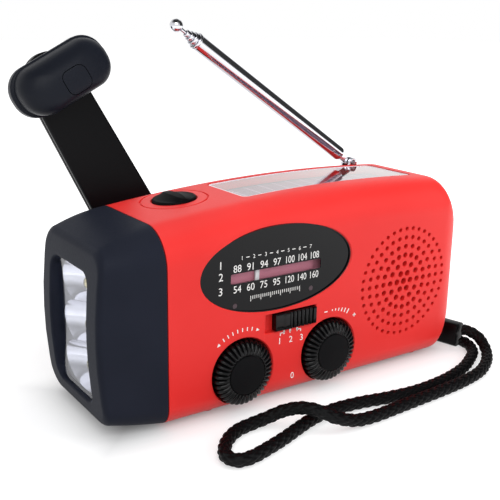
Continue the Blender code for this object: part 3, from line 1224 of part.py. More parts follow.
def strap():
    heading = math.radians(BEAD_HEADING)
    ahead = Vector((math.cos(heading), math.sin(heading), 0))
    beside = Vector((-math.sin(heading), math.cos(heading), 0))
    place = Matrix((beside, -ahead, Vector((0, 0, 1)))).transposed().to_4x4()
    place.translation = (*BEAD_EXIT, -FOOT_HEIGHT)
    half = BEAD_WIDTH / 2
    block = rounded_rectangle(-half, half, 0.0, BEAD_HEIGHT, (BEAD_EDGE,) * 4, 3)
    add("strap_bead", prism_y(block, 0.0, BEAD_LENGTH), BLACK, place)
    cord("strap_cord", STRAP_ROUTE, STRAP_RADIUS, STRAP_PITCH)
    cord("strap_loop", LOOP_ROUTE, LOOP_RADIUS, LOOP_PITCH)


shells()
torch()
torch_switch()
dial()
controls()
band_switch()
loudspeaker()
solar()
inside()
crank()
gears()
aerial()
strap()
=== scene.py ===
import math

import bmesh
import bpy
import numpy as np
from mathutils import Matrix, Quaternion, Vector


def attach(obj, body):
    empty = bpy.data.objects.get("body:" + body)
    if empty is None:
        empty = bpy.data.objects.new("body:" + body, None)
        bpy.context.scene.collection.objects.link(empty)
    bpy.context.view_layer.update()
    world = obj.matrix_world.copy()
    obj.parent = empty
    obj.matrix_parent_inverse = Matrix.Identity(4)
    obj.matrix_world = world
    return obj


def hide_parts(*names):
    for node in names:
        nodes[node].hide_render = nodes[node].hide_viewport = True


# A hand-crank radio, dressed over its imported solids. Sizes are in millimetres, and +Z is up.
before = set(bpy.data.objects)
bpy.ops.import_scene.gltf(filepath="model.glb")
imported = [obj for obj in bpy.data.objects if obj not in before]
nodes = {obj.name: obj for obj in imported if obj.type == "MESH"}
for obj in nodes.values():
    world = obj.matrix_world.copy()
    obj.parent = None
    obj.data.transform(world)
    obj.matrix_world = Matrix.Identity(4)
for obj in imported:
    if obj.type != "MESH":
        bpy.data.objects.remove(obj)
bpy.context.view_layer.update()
mm = 0.001
aerialTilt = 33.7  # degrees above the solar panel
print("frame loaded:", len(nodes), "nodes")


# Camera

viewpoint = {"place": (-142.54, -200.35, 108.04), "lookAt": (-20.425, -21.375, 46.69), "roll": 0.90,
             "lens": 59.76, "sensor": 36.0, "clipStart": 10.0}


def makeCamera():
    data = bpy.data.cameras.new("camera")
    data.lens = viewpoint["lens"]
    data.sensor_width = viewpoint["sensor"]
    data.clip_start = viewpoint["clipStart"] * mm
    camera = bpy.data.objects.new("camera", data)
    bpy.context.scene.collection.objects.link(camera)
    place = Vector(viewpoint["place"]) * mm
    aim = Vector(viewpoint["lookAt"]) * mm - place
    turn = aim.to_track_quat("-Z", "Y") @ Quaternion((0, 0, 1), math.radians(viewpoint["roll"]))
    camera.rotation_mode = "QUATERNION"
    camera.location = place
    camera.rotation_quaternion = turn
    bpy.context.scene.camera = camera


makeCamera()


# Meshes as numpy grids: rows of points, each row a closed line

# points closer than merge, in metres, are one; pole is the least radius of a turned shape
meshing = {"merge": 1e-7, "pole": 1e-4}


def gridMesh(grid, wrapRows=False):
    # a grid of points in mm as (points, faces): quads between neighbours, row by row, and flat caps on the
    # first and last rows where the rows don't wrap round
    rows, columns = grid.shape[:2]
    i = np.arange(rows if wrapRows else rows - 1)[:, None]
    j = np.arange(columns)[None, :]
    nextRow, nextColumn = (i + 1) % rows, (j + 1) % columns
    quads = [i * columns + j, i * columns + nextColumn, nextRow * columns + nextColumn, nextRow * columns + j]
    faces = np.stack(np.broadcast_arrays(*quads), -1).reshape(-1, 4).tolist()
    if not wrapRows:
        faces += [list(range(columns))[::-1], list(range((rows - 1) * columns, rows * columns))]
    return grid.reshape(-1, 3), faces


def joinMeshes(*meshes):
    starts = np.cumsum([0] + [len(points) for points, _ in meshes])
    faces = [[i + int(start) for i in face] for (_, more), start in zip(meshes, starts) for face in more]
    return np.concatenate([points for points, _ in meshes]), faces


def placed(mesh, matrix):
    # the mesh's points carried through a 4 x 4 matrix in mm
    points, faces = mesh
    m = np.array(matrix)
    return points @ m[:3, :3].T + m[:3, 3], faces


def readMesh(data):
    points = np.empty(len(data.vertices) * 3)
    data.vertices.foreach_get("co", points)
    return points.reshape(-1, 3), [list(face.vertices) for face in data.polygons]


def addPiece(name, mesh):
    points, faces = mesh
    data = bpy.data.meshes.new(name)
    data.from_pydata((np.asarray(points) * mm).tolist(), [], faces)
    work = bmesh.new()
    work.from_mesh(data)
    bmesh.ops.remove_doubles(work, verts=work.verts, dist=meshing["merge"])
    bmesh.ops.recalc_face_normals(work, faces=work.faces)
    work.to_mesh(data)
    work.free()
    piece = bpy.data.objects.new(name, data)
    bpy.context.scene.collection.objects.link(piece)
    return piece


def carve(piece, *steps):
    # applies Boolean steps of (operation, mesh) in turn
    tools = []
    for i, (operation, mesh) in enumerate(steps):
        tool = addPiece(f"{piece.name}-tool{i}", mesh)
        tools.append(tool)
        step = piece.modifiers.new(tool.name, "BOOLEAN")
        step.operation = operation
        step.solver = "EXACT"
        step.object = tool
    bpy.context.view_layer.update()
    made = bpy.data.meshes.new_from_object(piece.evaluated_get(bpy.context.evaluated_depsgraph_get()))
    piece.modifiers.clear()
    piece.data = made
    for tool in tools:
        bpy.data.objects.remove(tool, do_unlink=True)
    return piece


def dress(piece, finish, body, slotName, *stoodFor, sharp=38.0):
    # the finish, smooth shading up to an angle, and the body that the piece rides on
    piece.data.materials.clear()
    piece.data.materials.append(finish)
    piece.data.shade_smooth()
    piece.data.set_sharp_from_angle(angle=math.radians(sharp))
    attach(piece, body)
    if stoodFor:
        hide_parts(*stoodFor)
    return piece


# Outlines, and the plain solids made of them

cutPast = 1.0  # how far a cut runs past the face that it opens


def roundedLoops(low1, high1, low2, high2, radii, arcSteps=8, sideShares=(0.06, 0.3, 0.5, 0.7, 0.94)):
    # rounded rectangles, one per entry of the arrays: quarter arcs from the low-low corner round, with points
    # between them on the straight sides
    low1, high1, low2, high2 = (np.atleast_1d(np.asarray(v, float)) for v in (low1, high1, low2, high2))
    count = max(len(low1), len(high1), len(low2), len(high2))
    low1, high1, low2, high2 = (np.broadcast_to(v, count) for v in (low1, high1, low2, high2))
    a, b, c, d = (np.broadcast_to(np.asarray(r, float), count) for r in radii)
    corners = [(low1 + a, low2 + a, a, 180), (high1 - b, low2 + b, b, 270),
               (high1 - c, high2 - c, c, 0), (low1 + d, high2 - d, d, 90)]
    turn = np.linspace(0, 90, arcSteps + 1)
    arcs = [np.stack([x[:, None] + r[:, None] * np.cos(np.radians(start + turn)),
                      y[:, None] + r[:, None] * np.sin(np.radians(start + turn))], -1)
            for x, y, r, start in corners]
    share = np.asarray(sideShares)[None, :, None]
    parts = []
    for here, after in zip(arcs, arcs[1:] + arcs[:1]):
        parts += [here, here[:, -1:] * (1 - share) + after[:, :1] * share]
    return np.concatenate(parts, 1)


def roundedRect(x0, x1, z0, z1, radius, arcSteps=6):
    return roundedLoops(x0, x1, z0, z1, [radius] * 4, arcSteps, (0.5,))[0]


def ellipseLoop(halfX, halfY, sides):
    turn = np.linspace(0, 2 * math.pi, sides, endpoint=False)
    return np.stack([halfX * np.cos(turn), halfY * np.sin(turn)], -1)


def alongAxis(loops, heights, order):
    # stacks 2D loops at heights; order says which axes the loop's two numbers and the height go to
    loops = np.asarray(loops, float)
    if loops.ndim == 2:
        loops = np.broadcast_to(loops, (len(heights), *loops.shape))
    grid = np.empty((*loops.shape[:2], 3))
    grid[..., order[0]] = loops[..., 0]
    grid[..., order[1]] = loops[..., 1]
    grid[..., order[2]] = np.asarray(heights, float)[:, None]
    return grid


def prismX(loop, x0, x1):
    return gridMesh(alongAxis(loop, (x0, x1), (1, 2, 0)))


def prismY(loop, y0, y1):
    return gridMesh(alongAxis(loop, (y0, y1), (0, 2, 1)))


def prismZ(loop, z0, z1):
    return gridMesh(alongAxis(loop, (z0, z1), (0, 1, 2)))


def boxMesh(x0, x1, y0, y1, z0, z1):
    return prismZ(np.array([[x0, y0], [x1, y0], [x1, y1], [x0, y1]]), z0, z1)


def rodY(x, z, radius, y0, y1, sides=32):
    return prismY(ellipseLoop(radius, radius, sides) + (x, z), y0, y1)


def flaredY(loopOf, face, into, end, flare=0.3):
    # a cut through a face across y that opens out by flare at the face; into is +1 towards +Y, -1 towards -Y
    loops = [loopOf(2 * flare), loopOf(0.0), loopOf(0.0)]
    heights = [face - into * flare, face + into * flare, end]
    return gridMesh(alongAxis(loops, heights, (0, 2, 1)))


def roundHole(x, z, radius, face, into, end, flare=0.3, sides=48):
    return flaredY(lambda m: ellipseLoop(radius + m, radius + m, sides) + (x, z), face, into, end, flare)


def turnedGrid(profile, sides):
    # a profile of (radius, height) spun about z; the radius is kept above zero so that poles stay open rings
    profile = np.asarray(profile, float)
    turn = np.linspace(0, 2 * math.pi, sides, endpoint=False)
    radius = np.maximum(profile[:, :1], meshing["pole"])
    return np.stack(np.broadcast_arrays(radius * np.cos(turn), radius * np.sin(turn), profile[:, 1:]), -1)


def turnedMesh(profile, sides, wrapRows=False):
    return gridMesh(turnedGrid(profile, sides), wrapRows)


def quarterTurn(steps):
    return np.radians(np.linspace(0, 90, steps))


# Materials

def hexColour(code):
    # sRGB hex to linear
    srgb = np.array([int(code[i:i + 2], 16) / 255 for i in (1, 3, 5)])
    linear = np.where(srgb <= 0.04045, srgb / 12.92, ((srgb + 0.055) / 1.055) ** 2.4)
    return (*linear.tolist(), 1.0)


def addNode(tree, kind, inputs=None, **settings):
    # one node with its settings, and its inputs set or linked
    node = tree.nodes.new("ShaderNode" + kind)
    for key, value in settings.items():
        setattr(node, key, value)
    for key, value in (inputs or {}).items():
        if isinstance(value, bpy.types.NodeSocket):
            tree.links.new(value, node.inputs[key])
        else:
            node.inputs[key].default_value = value
    return node


def newFinish(name, **surface):
    finish = bpy.data.materials.new(name)
    finish.use_nodes = True
    tree = finish.node_tree
    shader = tree.nodes["Principled BSDF"]
    for key, value in surface.items():
        shader.inputs[key.replace("_", " ")].default_value = value
    return finish, tree, shader


def mouldedPlastic(name, light, dark, grainMm, depthMm, roughness, shine=0.3, cloudMm=30.0):
    # moulded plastic, and the inks, films and pressed goods here: the tool's grain breaks up the gloss, and
    # flow in the mould leaves faint clouds of tone
    finish, tree, shader = newFinish(name, IOR=1.53, Specular_IOR_Level=shine)
    place = addNode(tree, "TexCoord").outputs["Object"]
    cloud = addNode(tree, "TexNoise", {"Vector": place, "Scale": 1000 / cloudMm, "Detail": 3.0})
    tone = addNode(tree, "ValToRGB", {"Fac": cloud.outputs["Fac"]})
    tone.color_ramp.elements[0].position = 0.3
    tone.color_ramp.elements[0].color = hexColour(dark)
    tone.color_ramp.elements[1].position = 0.7
    tone.color_ramp.elements[1].color = hexColour(light)
    tree.links.new(tone.outputs["Color"], shader.inputs["Base Color"])
    grain = addNode(tree, "TexNoise", {"Vector": place, "Scale": 1000 / grainMm, "Detail": 2.0})
    gloss = addNode(tree, "MapRange", {"Value": grain.outputs["Fac"], "To Min": roughness - 0.05,
                                       "To Max": roughness + 0.06})
    tree.links.new(gloss.outputs["Result"], shader.inputs["Roughness"])
    bump = addNode(tree, "Bump", {"Height": grain.outputs["Fac"], "Strength": 0.35, "Distance": depthMm * mm})
    tree.links.new(bump.outputs["Normal"], shader.inputs["Normal"])
    return finish


def platedMetal(name, colour, roughness, lineMm=0.4, depthMm=0.004, metal=1.0):
    # drawn and plated metal: a bright mirror with faint lines, about 17 mm long and along the aerial, from
    # drawing and polishing; metal below 1 is a lacquered film, part mirror and part white
    finish, tree, shader = newFinish(name, Metallic=metal, Base_Color=hexColour(colour))
    place = addNode(tree, "TexCoord").outputs["Object"]
    stretched = addNode(tree, "Mapping", {"Vector": place, "Rotation": (0, math.radians(aerialTilt), 0),
                                          "Scale": (60.0, 1000 / lineMm, 1000 / lineMm)})
    lines = addNode(tree, "TexNoise", {"Vector": stretched.outputs["Vector"], "Scale": 1.0, "Detail": 2.0})
    gloss = addNode(tree, "MapRange", {"Value": lines.outputs["Fac"], "To Min": roughness * 0.6,
                                       "To Max": roughness * 1.5})
    tree.links.new(gloss.outputs["Result"], shader.inputs["Roughness"])
    bump = addNode(tree, "Bump", {"Height": lines.outputs["Fac"], "Strength": 0.2, "Distance": depthMm * mm})
    tree.links.new(bump.outputs["Normal"], shader.inputs["Normal"])
    return finish


def castResin(name, tint, roughness, ior, waveMm=9.0):
    # cast resin: clear, with slow waves left by the mould
    finish, tree, shader = newFinish(name, Base_Color=hexColour(tint), IOR=ior, Transmission_Weight=1.0,
                                     Roughness=roughness)
    place = addNode(tree, "TexCoord").outputs["Object"]
    waves = addNode(tree, "TexNoise", {"Vector": place, "Scale": 1000 / waveMm, "Detail": 1.0})
    bump = addNode(tree, "Bump", {"Height": waves.outputs["Fac"], "Strength": 0.05, "Distance": 0.02 * mm})
    tree.links.new(bump.outputs["Normal"], shader.inputs["Normal"])
    return finish


def thinPane(name, tint, roughness, mirror=1.0):
    # a flat clear sheet: sight goes straight through, and its outer faces mirror more at a grazing angle
    finish, tree, shader = newFinish(name, Base_Color=(1, 1, 1, 1), Metallic=1.0, Roughness=roughness)
    clear = addNode(tree, "BsdfTransparent", {"Color": hexColour(tint)})
    glance = addNode(tree, "Fresnel", {"IOR": 1.49}).outputs["Fac"]
    inner = addNode(tree, "NewGeometry").outputs["Backfacing"]
    outer = addNode(tree, "Math", {0: 1.0, 1: inner}, operation="SUBTRACT").outputs["Value"]
    share = addNode(tree, "Math", {0: glance, 1: outer}, operation="MULTIPLY").outputs["Value"]
    share = addNode(tree, "Math", {0: share, 1: mirror}, operation="MULTIPLY").outputs["Value"]
    sheet = addNode(tree, "MixShader", {0: share, 1: clear.outputs["BSDF"], 2: shader.outputs["BSDF"]})
    tree.links.new(sheet.outputs["Shader"], tree.nodes["Material Output"].inputs["Surface"])
    return finish


def solarCells(name, film, printed, cellMm, lineMm):
    # thin-film cells: strips of dull film side by side, with a pale printed line between neighbours
    finish, tree, shader = newFinish(name, Roughness=0.35, Specular_IOR_Level=0.4)
    place = addNode(tree, "TexCoord").outputs["Object"]
    across = addNode(tree, "SeparateXYZ", {"Vector": place}).outputs["X"]
    strip = addNode(tree, "Math", {0: across, 1: 1000 / cellMm}, operation="MULTIPLY")
    within = addNode(tree, "Math", {0: strip.outputs["Value"]}, operation="FRACT")
    line = addNode(tree, "Math", {0: within.outputs["Value"], 1: lineMm / cellMm}, operation="LESS_THAN")
    tone = addNode(tree, "ValToRGB", {"Fac": line.outputs["Value"]})
    tone.color_ramp.elements[0].color = hexColour(film)
    tone.color_ramp.elements[1].color = hexColour(printed)
    tree.links.new(tone.outputs["Color"], shader.inputs["Base Color"])
    return finish


redAbs = mouldedPlastic("red satin ABS", "#e8302d", "#e22a27", 0.7, 0.02, 0.42)
blackAbs = mouldedPlastic("black textured ABS", "#191c25", "#15181f", 0.8, 0.06, 0.4, 0.11)
blackHead = mouldedPlastic("black dull ABS", "#222530", "#1e212b", 0.8, 0.06, 0.46, 0.05)
blackGloss = mouldedPlastic("black polished ABS", "#060608", "#050506", 0.9, 0.006, 0.15, 0.2)
blackSatin = mouldedPlastic("black satin nylon", "#060608", "#050507", 0.6, 0.015, 0.34, 0.11)
blackMatt = mouldedPlastic("black spark-eroded ABS", "#08080a", "#060608", 0.45, 0.05, 0.6, 0.1)
blackInk = mouldedPlastic("black screen ink", "#060609", "#050507", 0.3, 0.001, 0.14, 0.18)
softRubber = mouldedPlastic("black moulded rubber", "#121214", "#0e0e10", 0.5, 0.03, 0.7, 0.2)
whiteAbs = mouldedPlastic("white moulded ABS", "#f2f1ee", "#ebeae6", 0.8, 0.01, 0.4)
whiteInk = mouldedPlastic("white pad-printed ink", "#f6f5f3", "#eeedea", 0.3, 0.002, 0.55)
naturalNylon = mouldedPlastic("natural nylon", "#dcd9cf", "#d2cfc4", 0.8, 0.01, 0.45)
boardResist = mouldedPlastic("green solder resist", "#1d6b40", "#185a35", 1.2, 0.01, 0.35)
ferriteGrey = mouldedPlastic("sintered ferrite", "#4a4a4c", "#3e3e41", 0.4, 0.02, 0.6)
conePaper = mouldedPlastic("pressed paper cone", "#161515", "#0f0e0e", 0.8, 0.05, 0.85, 0.1)
cellWrap = mouldedPlastic("blue shrink wrap", "#4a6ba3", "#42608f", 1.5, 0.01, 0.35)
ledPhosphor = mouldedPlastic("yellow LED phosphor", "#f3e6a0", "#ecd98a", 0.3, 0.01, 0.6)
chromePlate = platedMetal("bright chrome plate", "#d2d2d8", 0.09)
plainSteel = platedMetal("plain bright steel", "#a9aab0", 0.28)
reflectorFilm = platedMetal("metallised reflector", "#f3f3f8", 0.06, metal=0.6)
lensAcrylic = thinPane("clear acrylic", "#fbfcff", 0.03)
dialAcrylic = thinPane("dial window acrylic", "#fafafc", 0.05, 0.0)
solarAcrylic = thinPane("solar window acrylic", "#f3eef3", 0.06, 1.7)
frostedEdge = mouldedPlastic("frosted acrylic edge", "#f6f0f5", "#efe8ee", 0.5, 0.01, 0.3, 0.4)
cellFilm = solarCells("thin-film solar cells", "#8c7b88", "#d6cfd6", 5.5, 0.5)
ledResin = castResin("clear LED resin", "#fffdf4", 0.05, 1.54)
dullLed = mouldedPlastic("dark red LED resin", "#4c3a40", "#43333a", 0.5, 0.005, 0.3)
pinkFilm = mouldedPlastic("dull pink scale film", "#dc909e", "#d28694", 0.5, 0.003, 0.45)
blackBraid = mouldedPlastic("black polyester braid", "#08080a", "#050506", 0.18, 0.05, 0.55, 0.14, 4.0)
print("finishes made")


# Dressing the solids that stay: merged edges, small moulded roundings, smooth round faces

nodeFinish = {
    "torch_lens": lensAcrylic, "led_board": boardResist, "torch_switch": blackAbs, "dial_lens": dialAcrylic,
    "dial_plate": pinkFilm, "dial_pointer": whiteAbs, "tuning_capacitor": whiteAbs,
    "volume_control": plainSteel, "band_switch": plainSteel, "solar_window": solarAcrylic,
    "solar_panel": cellFilm, "main_board": boardResist, "ferrite_rod": ferriteGrey,
    "speaker_basket": plainSteel, "speaker_magnet": plainSteel, "speaker_cone": conePaper,
    "battery_cell": cellWrap, "charge_socket": plainSteel, "port_cover": softRubber,
    "generator_can": plainSteel, "generator_rotor": plainSteel, "crank_gear": naturalNylon,
    "idler_gear": naturalNylon, "crank_hub": blackAbs, "crank_pin": plainSteel, "grip_pin": blackSatin,
    "aerial_base": chromePlate, "aerial_pin": plainSteel, "aerial_tube_2": chromePlate,
    "aerial_tube_3": chromePlate, "aerial_tube_4": chromePlate, "aerial_rod": chromePlate,
    "strap_bead": blackSatin,
}
edgeRounding = {"strap_bead": 0.7, "crank_hub": 0.5, "port_cover": 0.35, "aerial_base": 0.15, "grip_pin": 0.3}
nodeEdges = {"merge": 1e-6, "bevelSteps": 3, "bevelAngle": 40.0, "splitAngle": 35.0}


def dressNode(name):
    node = nodes[name]
    node.data.materials.clear()
    node.data.materials.append(nodeFinish[name])
    if "custom_normal" in node.data.attributes:
        node.data.attributes.remove(node.data.attributes["custom_normal"])
    node.data.shade_smooth()
    weld = node.modifiers.new("merge", "WELD")
    weld.merge_threshold = nodeEdges["merge"]
    if name in edgeRounding:
        bevel = node.modifiers.new("moulded edge", "BEVEL")
        bevel.width = edgeRounding[name] * mm
        bevel.segments = nodeEdges["bevelSteps"]
        bevel.limit_method = "ANGLE"
        bevel.angle_limit = math.radians(nodeEdges["bevelAngle"])
    split = node.modifiers.new("sharp edges", "EDGE_SPLIT")
    split.split_angle = math.radians(nodeEdges["splitAngle"])
    split.use_edge_sharp = False


for nodeName in nodeFinish:
    dressNode(nodeName)
print("solids dressed")


# Wrist strap: a braided tube along a smooth line through the route, with the thin loop that ties it on

strap = {
    "radius": 1.9, "carriers": 6, "braidPitch": 3.0, "relief": 0.4, "strandEdge": 0.9, "strandRun": 0.3,
    "columns": 64, "step": 0.26, "up": (0, 0, 1), "pathEvery": 8,
    "loopRadius": 0.8, "loopStep": 0.2, "loopColumns": 20, "loopUp": (1, 0, 0.2),
    "route": (
        (68.8, -20.9, 0.9), (68.8, -22.8, 0.9), (67.4, -26.2, 0.9), (64.4, -29.8, 0.9),
        (59.2, -33.2, 0.9), (52.6, -36.6, 0.9), (43.8, -39.3, 0.9), (35.0, -40.7, 0.9),
        (26.0, -41.0, 0.9), (16.2, -39.8, 0.9), (8.0, -38.1, 0.9), (0.3, -37.3, 0.9),
        (-5.5, -37.6, 0.9), (-11.5, -38.9, 0.9), (-17.5, -41.0, 0.9), (-23.5, -43.2, 0.9),
        (-30.0, -45.2, 0.9), (-36.0, -46.6, 0.9), (-40.0, -46.0, 0.9), (-41.2, -42.6, 0.9),
        (-39.2, -38.8, 0.9), (-35.6, -35.3, 0.9), (-31.2, -32.9, 0.9), (-26.4, -32.0, 0.9),
        (-21.5, -32.4, 1.6), (-17.4, -34.7, 3.6), (-14.3, -38.4, 5.2), (-11.4, -42.2, 5.2),
        (-7.6, -45.2, 3.4), (-1.6, -46.5, 1.5), (5.5, -46.6, 0.9), (14.0, -46.2, 0.9),
        (24.0, -45.6, 0.9), (34.0, -45.0, 0.9), (44.0, -44.0, 0.9), (54.0, -41.8, 0.9),
        (61.4, -38.0, 0.9), (67.2, -33.4, 1.0), (69.9, -29.6, 2.3), (70.6, -26.2, 4.0),
        (69.7, -22.8, 5.1), (68.9, -20.9, 5.1),
    ),
    "loopRoute": (
        (65.6, -10.5, 2.9), (64.9, -9.9, 3.8), (64.4, -9.4, 6.4), (64.4, -7.9, 8.4), (64.4, -6.0, 8.6),
        (64.4, -4.1, 8.4), (65.2, -3.0, 6.6), (66.6, -4.2, 4.4), (67.6, -7.2, 3.0), (67.3, -10.1, 2.9),
    ),
}


def smoothLine(route, step, fineSteps=40):
    # a Catmull-Rom curve through the route, read at even steps
    line = np.asarray(route, float)
    padded = np.concatenate([[2 * line[0] - line[1]], line, [2 * line[-1] - line[-2]]])
    a, b, c, d = (padded[i:i + len(line) - 1, None, :] for i in range(4))
    t = np.linspace(0, 1, fineSteps, endpoint=False)[None, :, None]
    bend, twist = 2 * a - 5 * b + 4 * c - d, 3 * b - a - 3 * c + d
    fine = 0.5 * (2 * b + (c - a) * t + bend * t ** 2 + twist * t ** 3)
    fine = np.concatenate([fine.reshape(-1, 3), line[-1:]])
    along = np.concatenate([[0], np.cumsum(np.linalg.norm(np.diff(fine, axis=0), axis=1))])
    even = np.linspace(0, along[-1], round(along[-1] / step) + 1)
    return np.stack([np.interp(even, along, fine[:, i]) for i in range(3)], -1), even


def tubeGrid(line, radius, columns, up):
    # circles square to the line, with a radius for each point; up fixes where the turn starts
    ahead = np.gradient(line, axis=0)
    ahead /= np.linalg.norm(ahead, axis=1)[:, None]
    side = np.cross(ahead, up)
    side /= np.linalg.norm(side, axis=1)[:, None]
    over = np.cross(side, ahead)
    turn = np.linspace(0, 2 * math.pi, columns, endpoint=False)[None, :, None]
    circle = np.cos(turn) * side[:, None] + np.sin(turn) * over[:, None]
    return line[:, None] + np.asarray(radius)[..., None] * circle


def braidRelief(even, columns):
    # two sets of strands wind opposite ways; each small diamond shows the strand that lies on top, rounded
    # across its width and nearly level along it
    turn = np.linspace(0, strap["carriers"], columns, endpoint=False)[None, :]
    run = even[:, None] / strap["braidPitch"]
    one, two = turn + run, turn - run
    top = (np.floor(one) + np.floor(two)) % 2
    first, second = np.sin(math.pi * (one % 1)), np.sin(math.pi * (two % 1))
    edge, level = strap["strandEdge"], strap["strandRun"]
    return np.where(top == 0, first ** edge * second ** level, first ** level * second ** edge)


def makeStrap():
    s = strap
    line, even = smoothLine(s["route"], s["step"])
    radius = s["radius"] - s["relief"] * (1 - braidRelief(even, s["columns"]))
    cord = addPiece("strap", gridMesh(tubeGrid(line, radius, s["columns"], s["up"])))
    dress(cord, blackBraid, "housing", "braid", "strap_cord", sharp=75)
    loopLine, _ = smoothLine(s["loopRoute"], s["loopStep"])
    loopRadius = np.full((len(loopLine), 1), s["loopRadius"])
    loop = addPiece("strap_tie", gridMesh(tubeGrid(loopLine, loopRadius, s["loopColumns"], s["loopUp"])))
    dress(loop, blackBraid, "housing", "braid", "strap_loop")
    print("strap length", round(float(even[-1]), 1), "mm")


makeStrap()


# Housing shells: rounded sections along x under an arched top, hollowed and pierced

housing = {"right": 64.0, "seam": -45.8, "front": -21.5, "back": 21.5, "crownZ": 59.5, "crownX": 22.0,
           "crownRadius": 514.0, "wall": 2.0, "topWall": 3.0, "edgeTopFront": 10.5, "edgeTopBack": 8.0,
           "edgeBottom": 6.0, "endLength": 9.0, "endSide": 6.5, "endTop": 14.0, "endBottom": 22.0,
           "parting": 15.0, "gap": 0.3, "reach": 200.0}
# steps: how far in from the foot's radius, and the height there
foot = {"places": [(x, y) for x in (-30.0, 50.0) for y in (-14.0, 10.0)], "radius": 2.6,
        "steps": ((0.0, 0.6), (0.15, -0.5), (0.5, -0.85), (0.9, -1.0))}
screwPost = {"places": ((-40.0, 8.0), (56.0, 12.0), (-40.0, 47.0), (54.0, 46.0)), "radius": 3.2,
             "pilot": 1.25, "pilotFrom": 2.7, "head": 2.9, "headDeep": 3.1, "headFlare": 0.25, "shank": 1.4,
             "shankDeep": 12.0, "shankFrom": 2.5}
dial = {"x": -10.0, "z": 40.0, "halfX": 26.0, "halfZ": 12.4, "lensFront": -20.6, "plateFront": -18.6,
        "pointerZ": 38.9, "cutDeep": 6.0}
knob = {"tuningX": -22.2, "volumeX": 8.7, "z": 11.2, "radius": 9.7, "wellRadius": 10.1, "wellDepth": 4.3,
        "wellFloor": 1.7, "wellWall": 1.5, "wellFlare": 0.35, "stem": 2.8, "stemRoom": 0.4, "stemDeep": 5.0}
slot = {"left": -14.9, "right": 3.3, "low": 21.0, "high": 26.7, "depth": 1.6, "corner": 0.3, "flare": 0.15,
        "pad": 1.9, "padMargin": 1.2, "stemX": -4.3, "stemHalf": 2.1, "stemHalfZ": 1.3, "stemRoot": 0.5,
        "travel": 3.0}
grille = {"x": 38.4, "z": 27.9, "radius": 17.1, "rings": (6, 12, 20, 24, 32, 40), "middle": 1.05,
          "edge": 0.62, "flare": 0.1}
# wellLip: how far out from the well's radius, and the height there
topSwitch = {"x": -29.4, "y": 4.6, "radius": 6.4, "wellRadius": 6.8, "wellDepth": 1.0, "stem": 2.8,
             "stemDeep": 5.0, "wellLip": ((0.5, 2.0), (0.3, 0.3), (0.0, -0.1)), "ring": 9.5,
             "ringWidth": 0.6, "ringDepth": 0.5, "ringSlant": 0.15, "ringLip": 0.05}
solar = {"left": -14.0, "right": 52.0, "front": -8.7, "back": 13.0, "corner": 2.0, "below": 12.0,
         "above": 5.0}
aerial = {"x": 46.8, "y": 17.2, "bossTop": 56.3014, "boss": 3.0, "bossDeep": 5.0, "notch": 3.3,
          "notchDeep": 8.0, "bore": 1.6, "boreDeep": 6.4, "seatHigh": 5.0}
crank = {"x": -23.9, "z": 32.9, "pinY": 31.0, "bore": 3.4, "pocketX": 38.6, "pocketHalfX": 9.0,
         "pocketHalfZ": 18.6, "pocketDepth": 4.6, "pocketFlare": 0.4, "idlerX": -5.0218, "idlerZ": 28.8873,
         "axle": 1.5, "axleFrom": 7.8}
port = {"x": 12.0, "z": 7.5, "halfX": 8.0, "halfZ": 3.6, "corner": 1.5, "flare": 0.15, "cover": 1.4,
        "socketX": 4.9, "socketZ": 2.2}
ear = {"from": 60.0, "to": 67.0, "y": -6.0, "z": 8.6, "halfZ": 2.6, "corner": 0.4, "thickness": 2.0,
       "holeX": 64.4, "hole": 1.5}
knobPlaces = (knob["tuningX"], knob["volumeX"])
slotMiddle = (slot["low"] + slot["high"]) / 2


def topZ(x):
    # the arched top: a circle of crownRadius in the xz plane
    return housing["crownZ"] - housing["crownRadius"] + np.sqrt(
        housing["crownRadius"] ** 2 - (x - housing["crownX"]) ** 2)


switchSlope = math.asin((housing["crownX"] - topSwitch["x"]) / housing["crownRadius"])
switchFrame = (Matrix.Translation((topSwitch["x"], topSwitch["y"], float(topZ(topSwitch["x"]))))
               @ Matrix.Rotation(-switchSlope, 4, "Y"))


def bodyMesh(left, inset, topInset, spans=36, endSteps=14):
    # sections at even steps along x, then a quarter turn of ellipse in which every side draws in
    h = housing
    right, length = h["right"] - inset, h["endLength"] - inset
    turn = quarterTurn(endSteps + 1)
    x = np.concatenate([np.linspace(left, right - length, spans, endpoint=False),
                        right - length * (1 - np.sin(turn))])
    shrink = np.concatenate([np.zeros(spans), 1 - np.cos(turn)])
    side = inset + (h["endSide"] - inset) * shrink
    loops = roundedLoops(h["front"] + side, h["back"] - side, inset + (h["endBottom"] - inset) * shrink,
                         topZ(x) - topInset - (h["endTop"] - topInset) * shrink,
                         [h["edgeBottom"] - inset, h["edgeBottom"] - inset, h["edgeTopBack"] - inset,
                          h["edgeTopFront"] - inset], arcSteps=12)
    return gridMesh(alongAxis(loops, x, (1, 2, 0)))


def dialLoop(margin, sides=96):
    return ellipseLoop(dial["halfX"] + margin, dial["halfZ"] + margin, sides) + (dial["x"], dial["z"])


def slotLoop(margin):
    return roundedRect(slot["left"] - margin, slot["right"] + margin, slot["low"] - margin,
                       slot["high"] + margin, slot["corner"])


def pocketLoop(margin):
    halfX, halfZ = crank["pocketHalfX"] + margin, crank["pocketHalfZ"] + margin
    return roundedRect(crank["pocketX"] - halfX, crank["pocketX"] + halfX, crank["z"] - halfZ,
                       crank["z"] + halfZ, halfX, 14)


def portLoop(margin):
    halfX, halfZ = port["halfX"] + margin, port["halfZ"] + margin
    return roundedRect(port["x"] - halfX, port["x"] + halfX, port["z"] - halfZ, port["z"] + halfZ,
                       port["corner"] + margin)


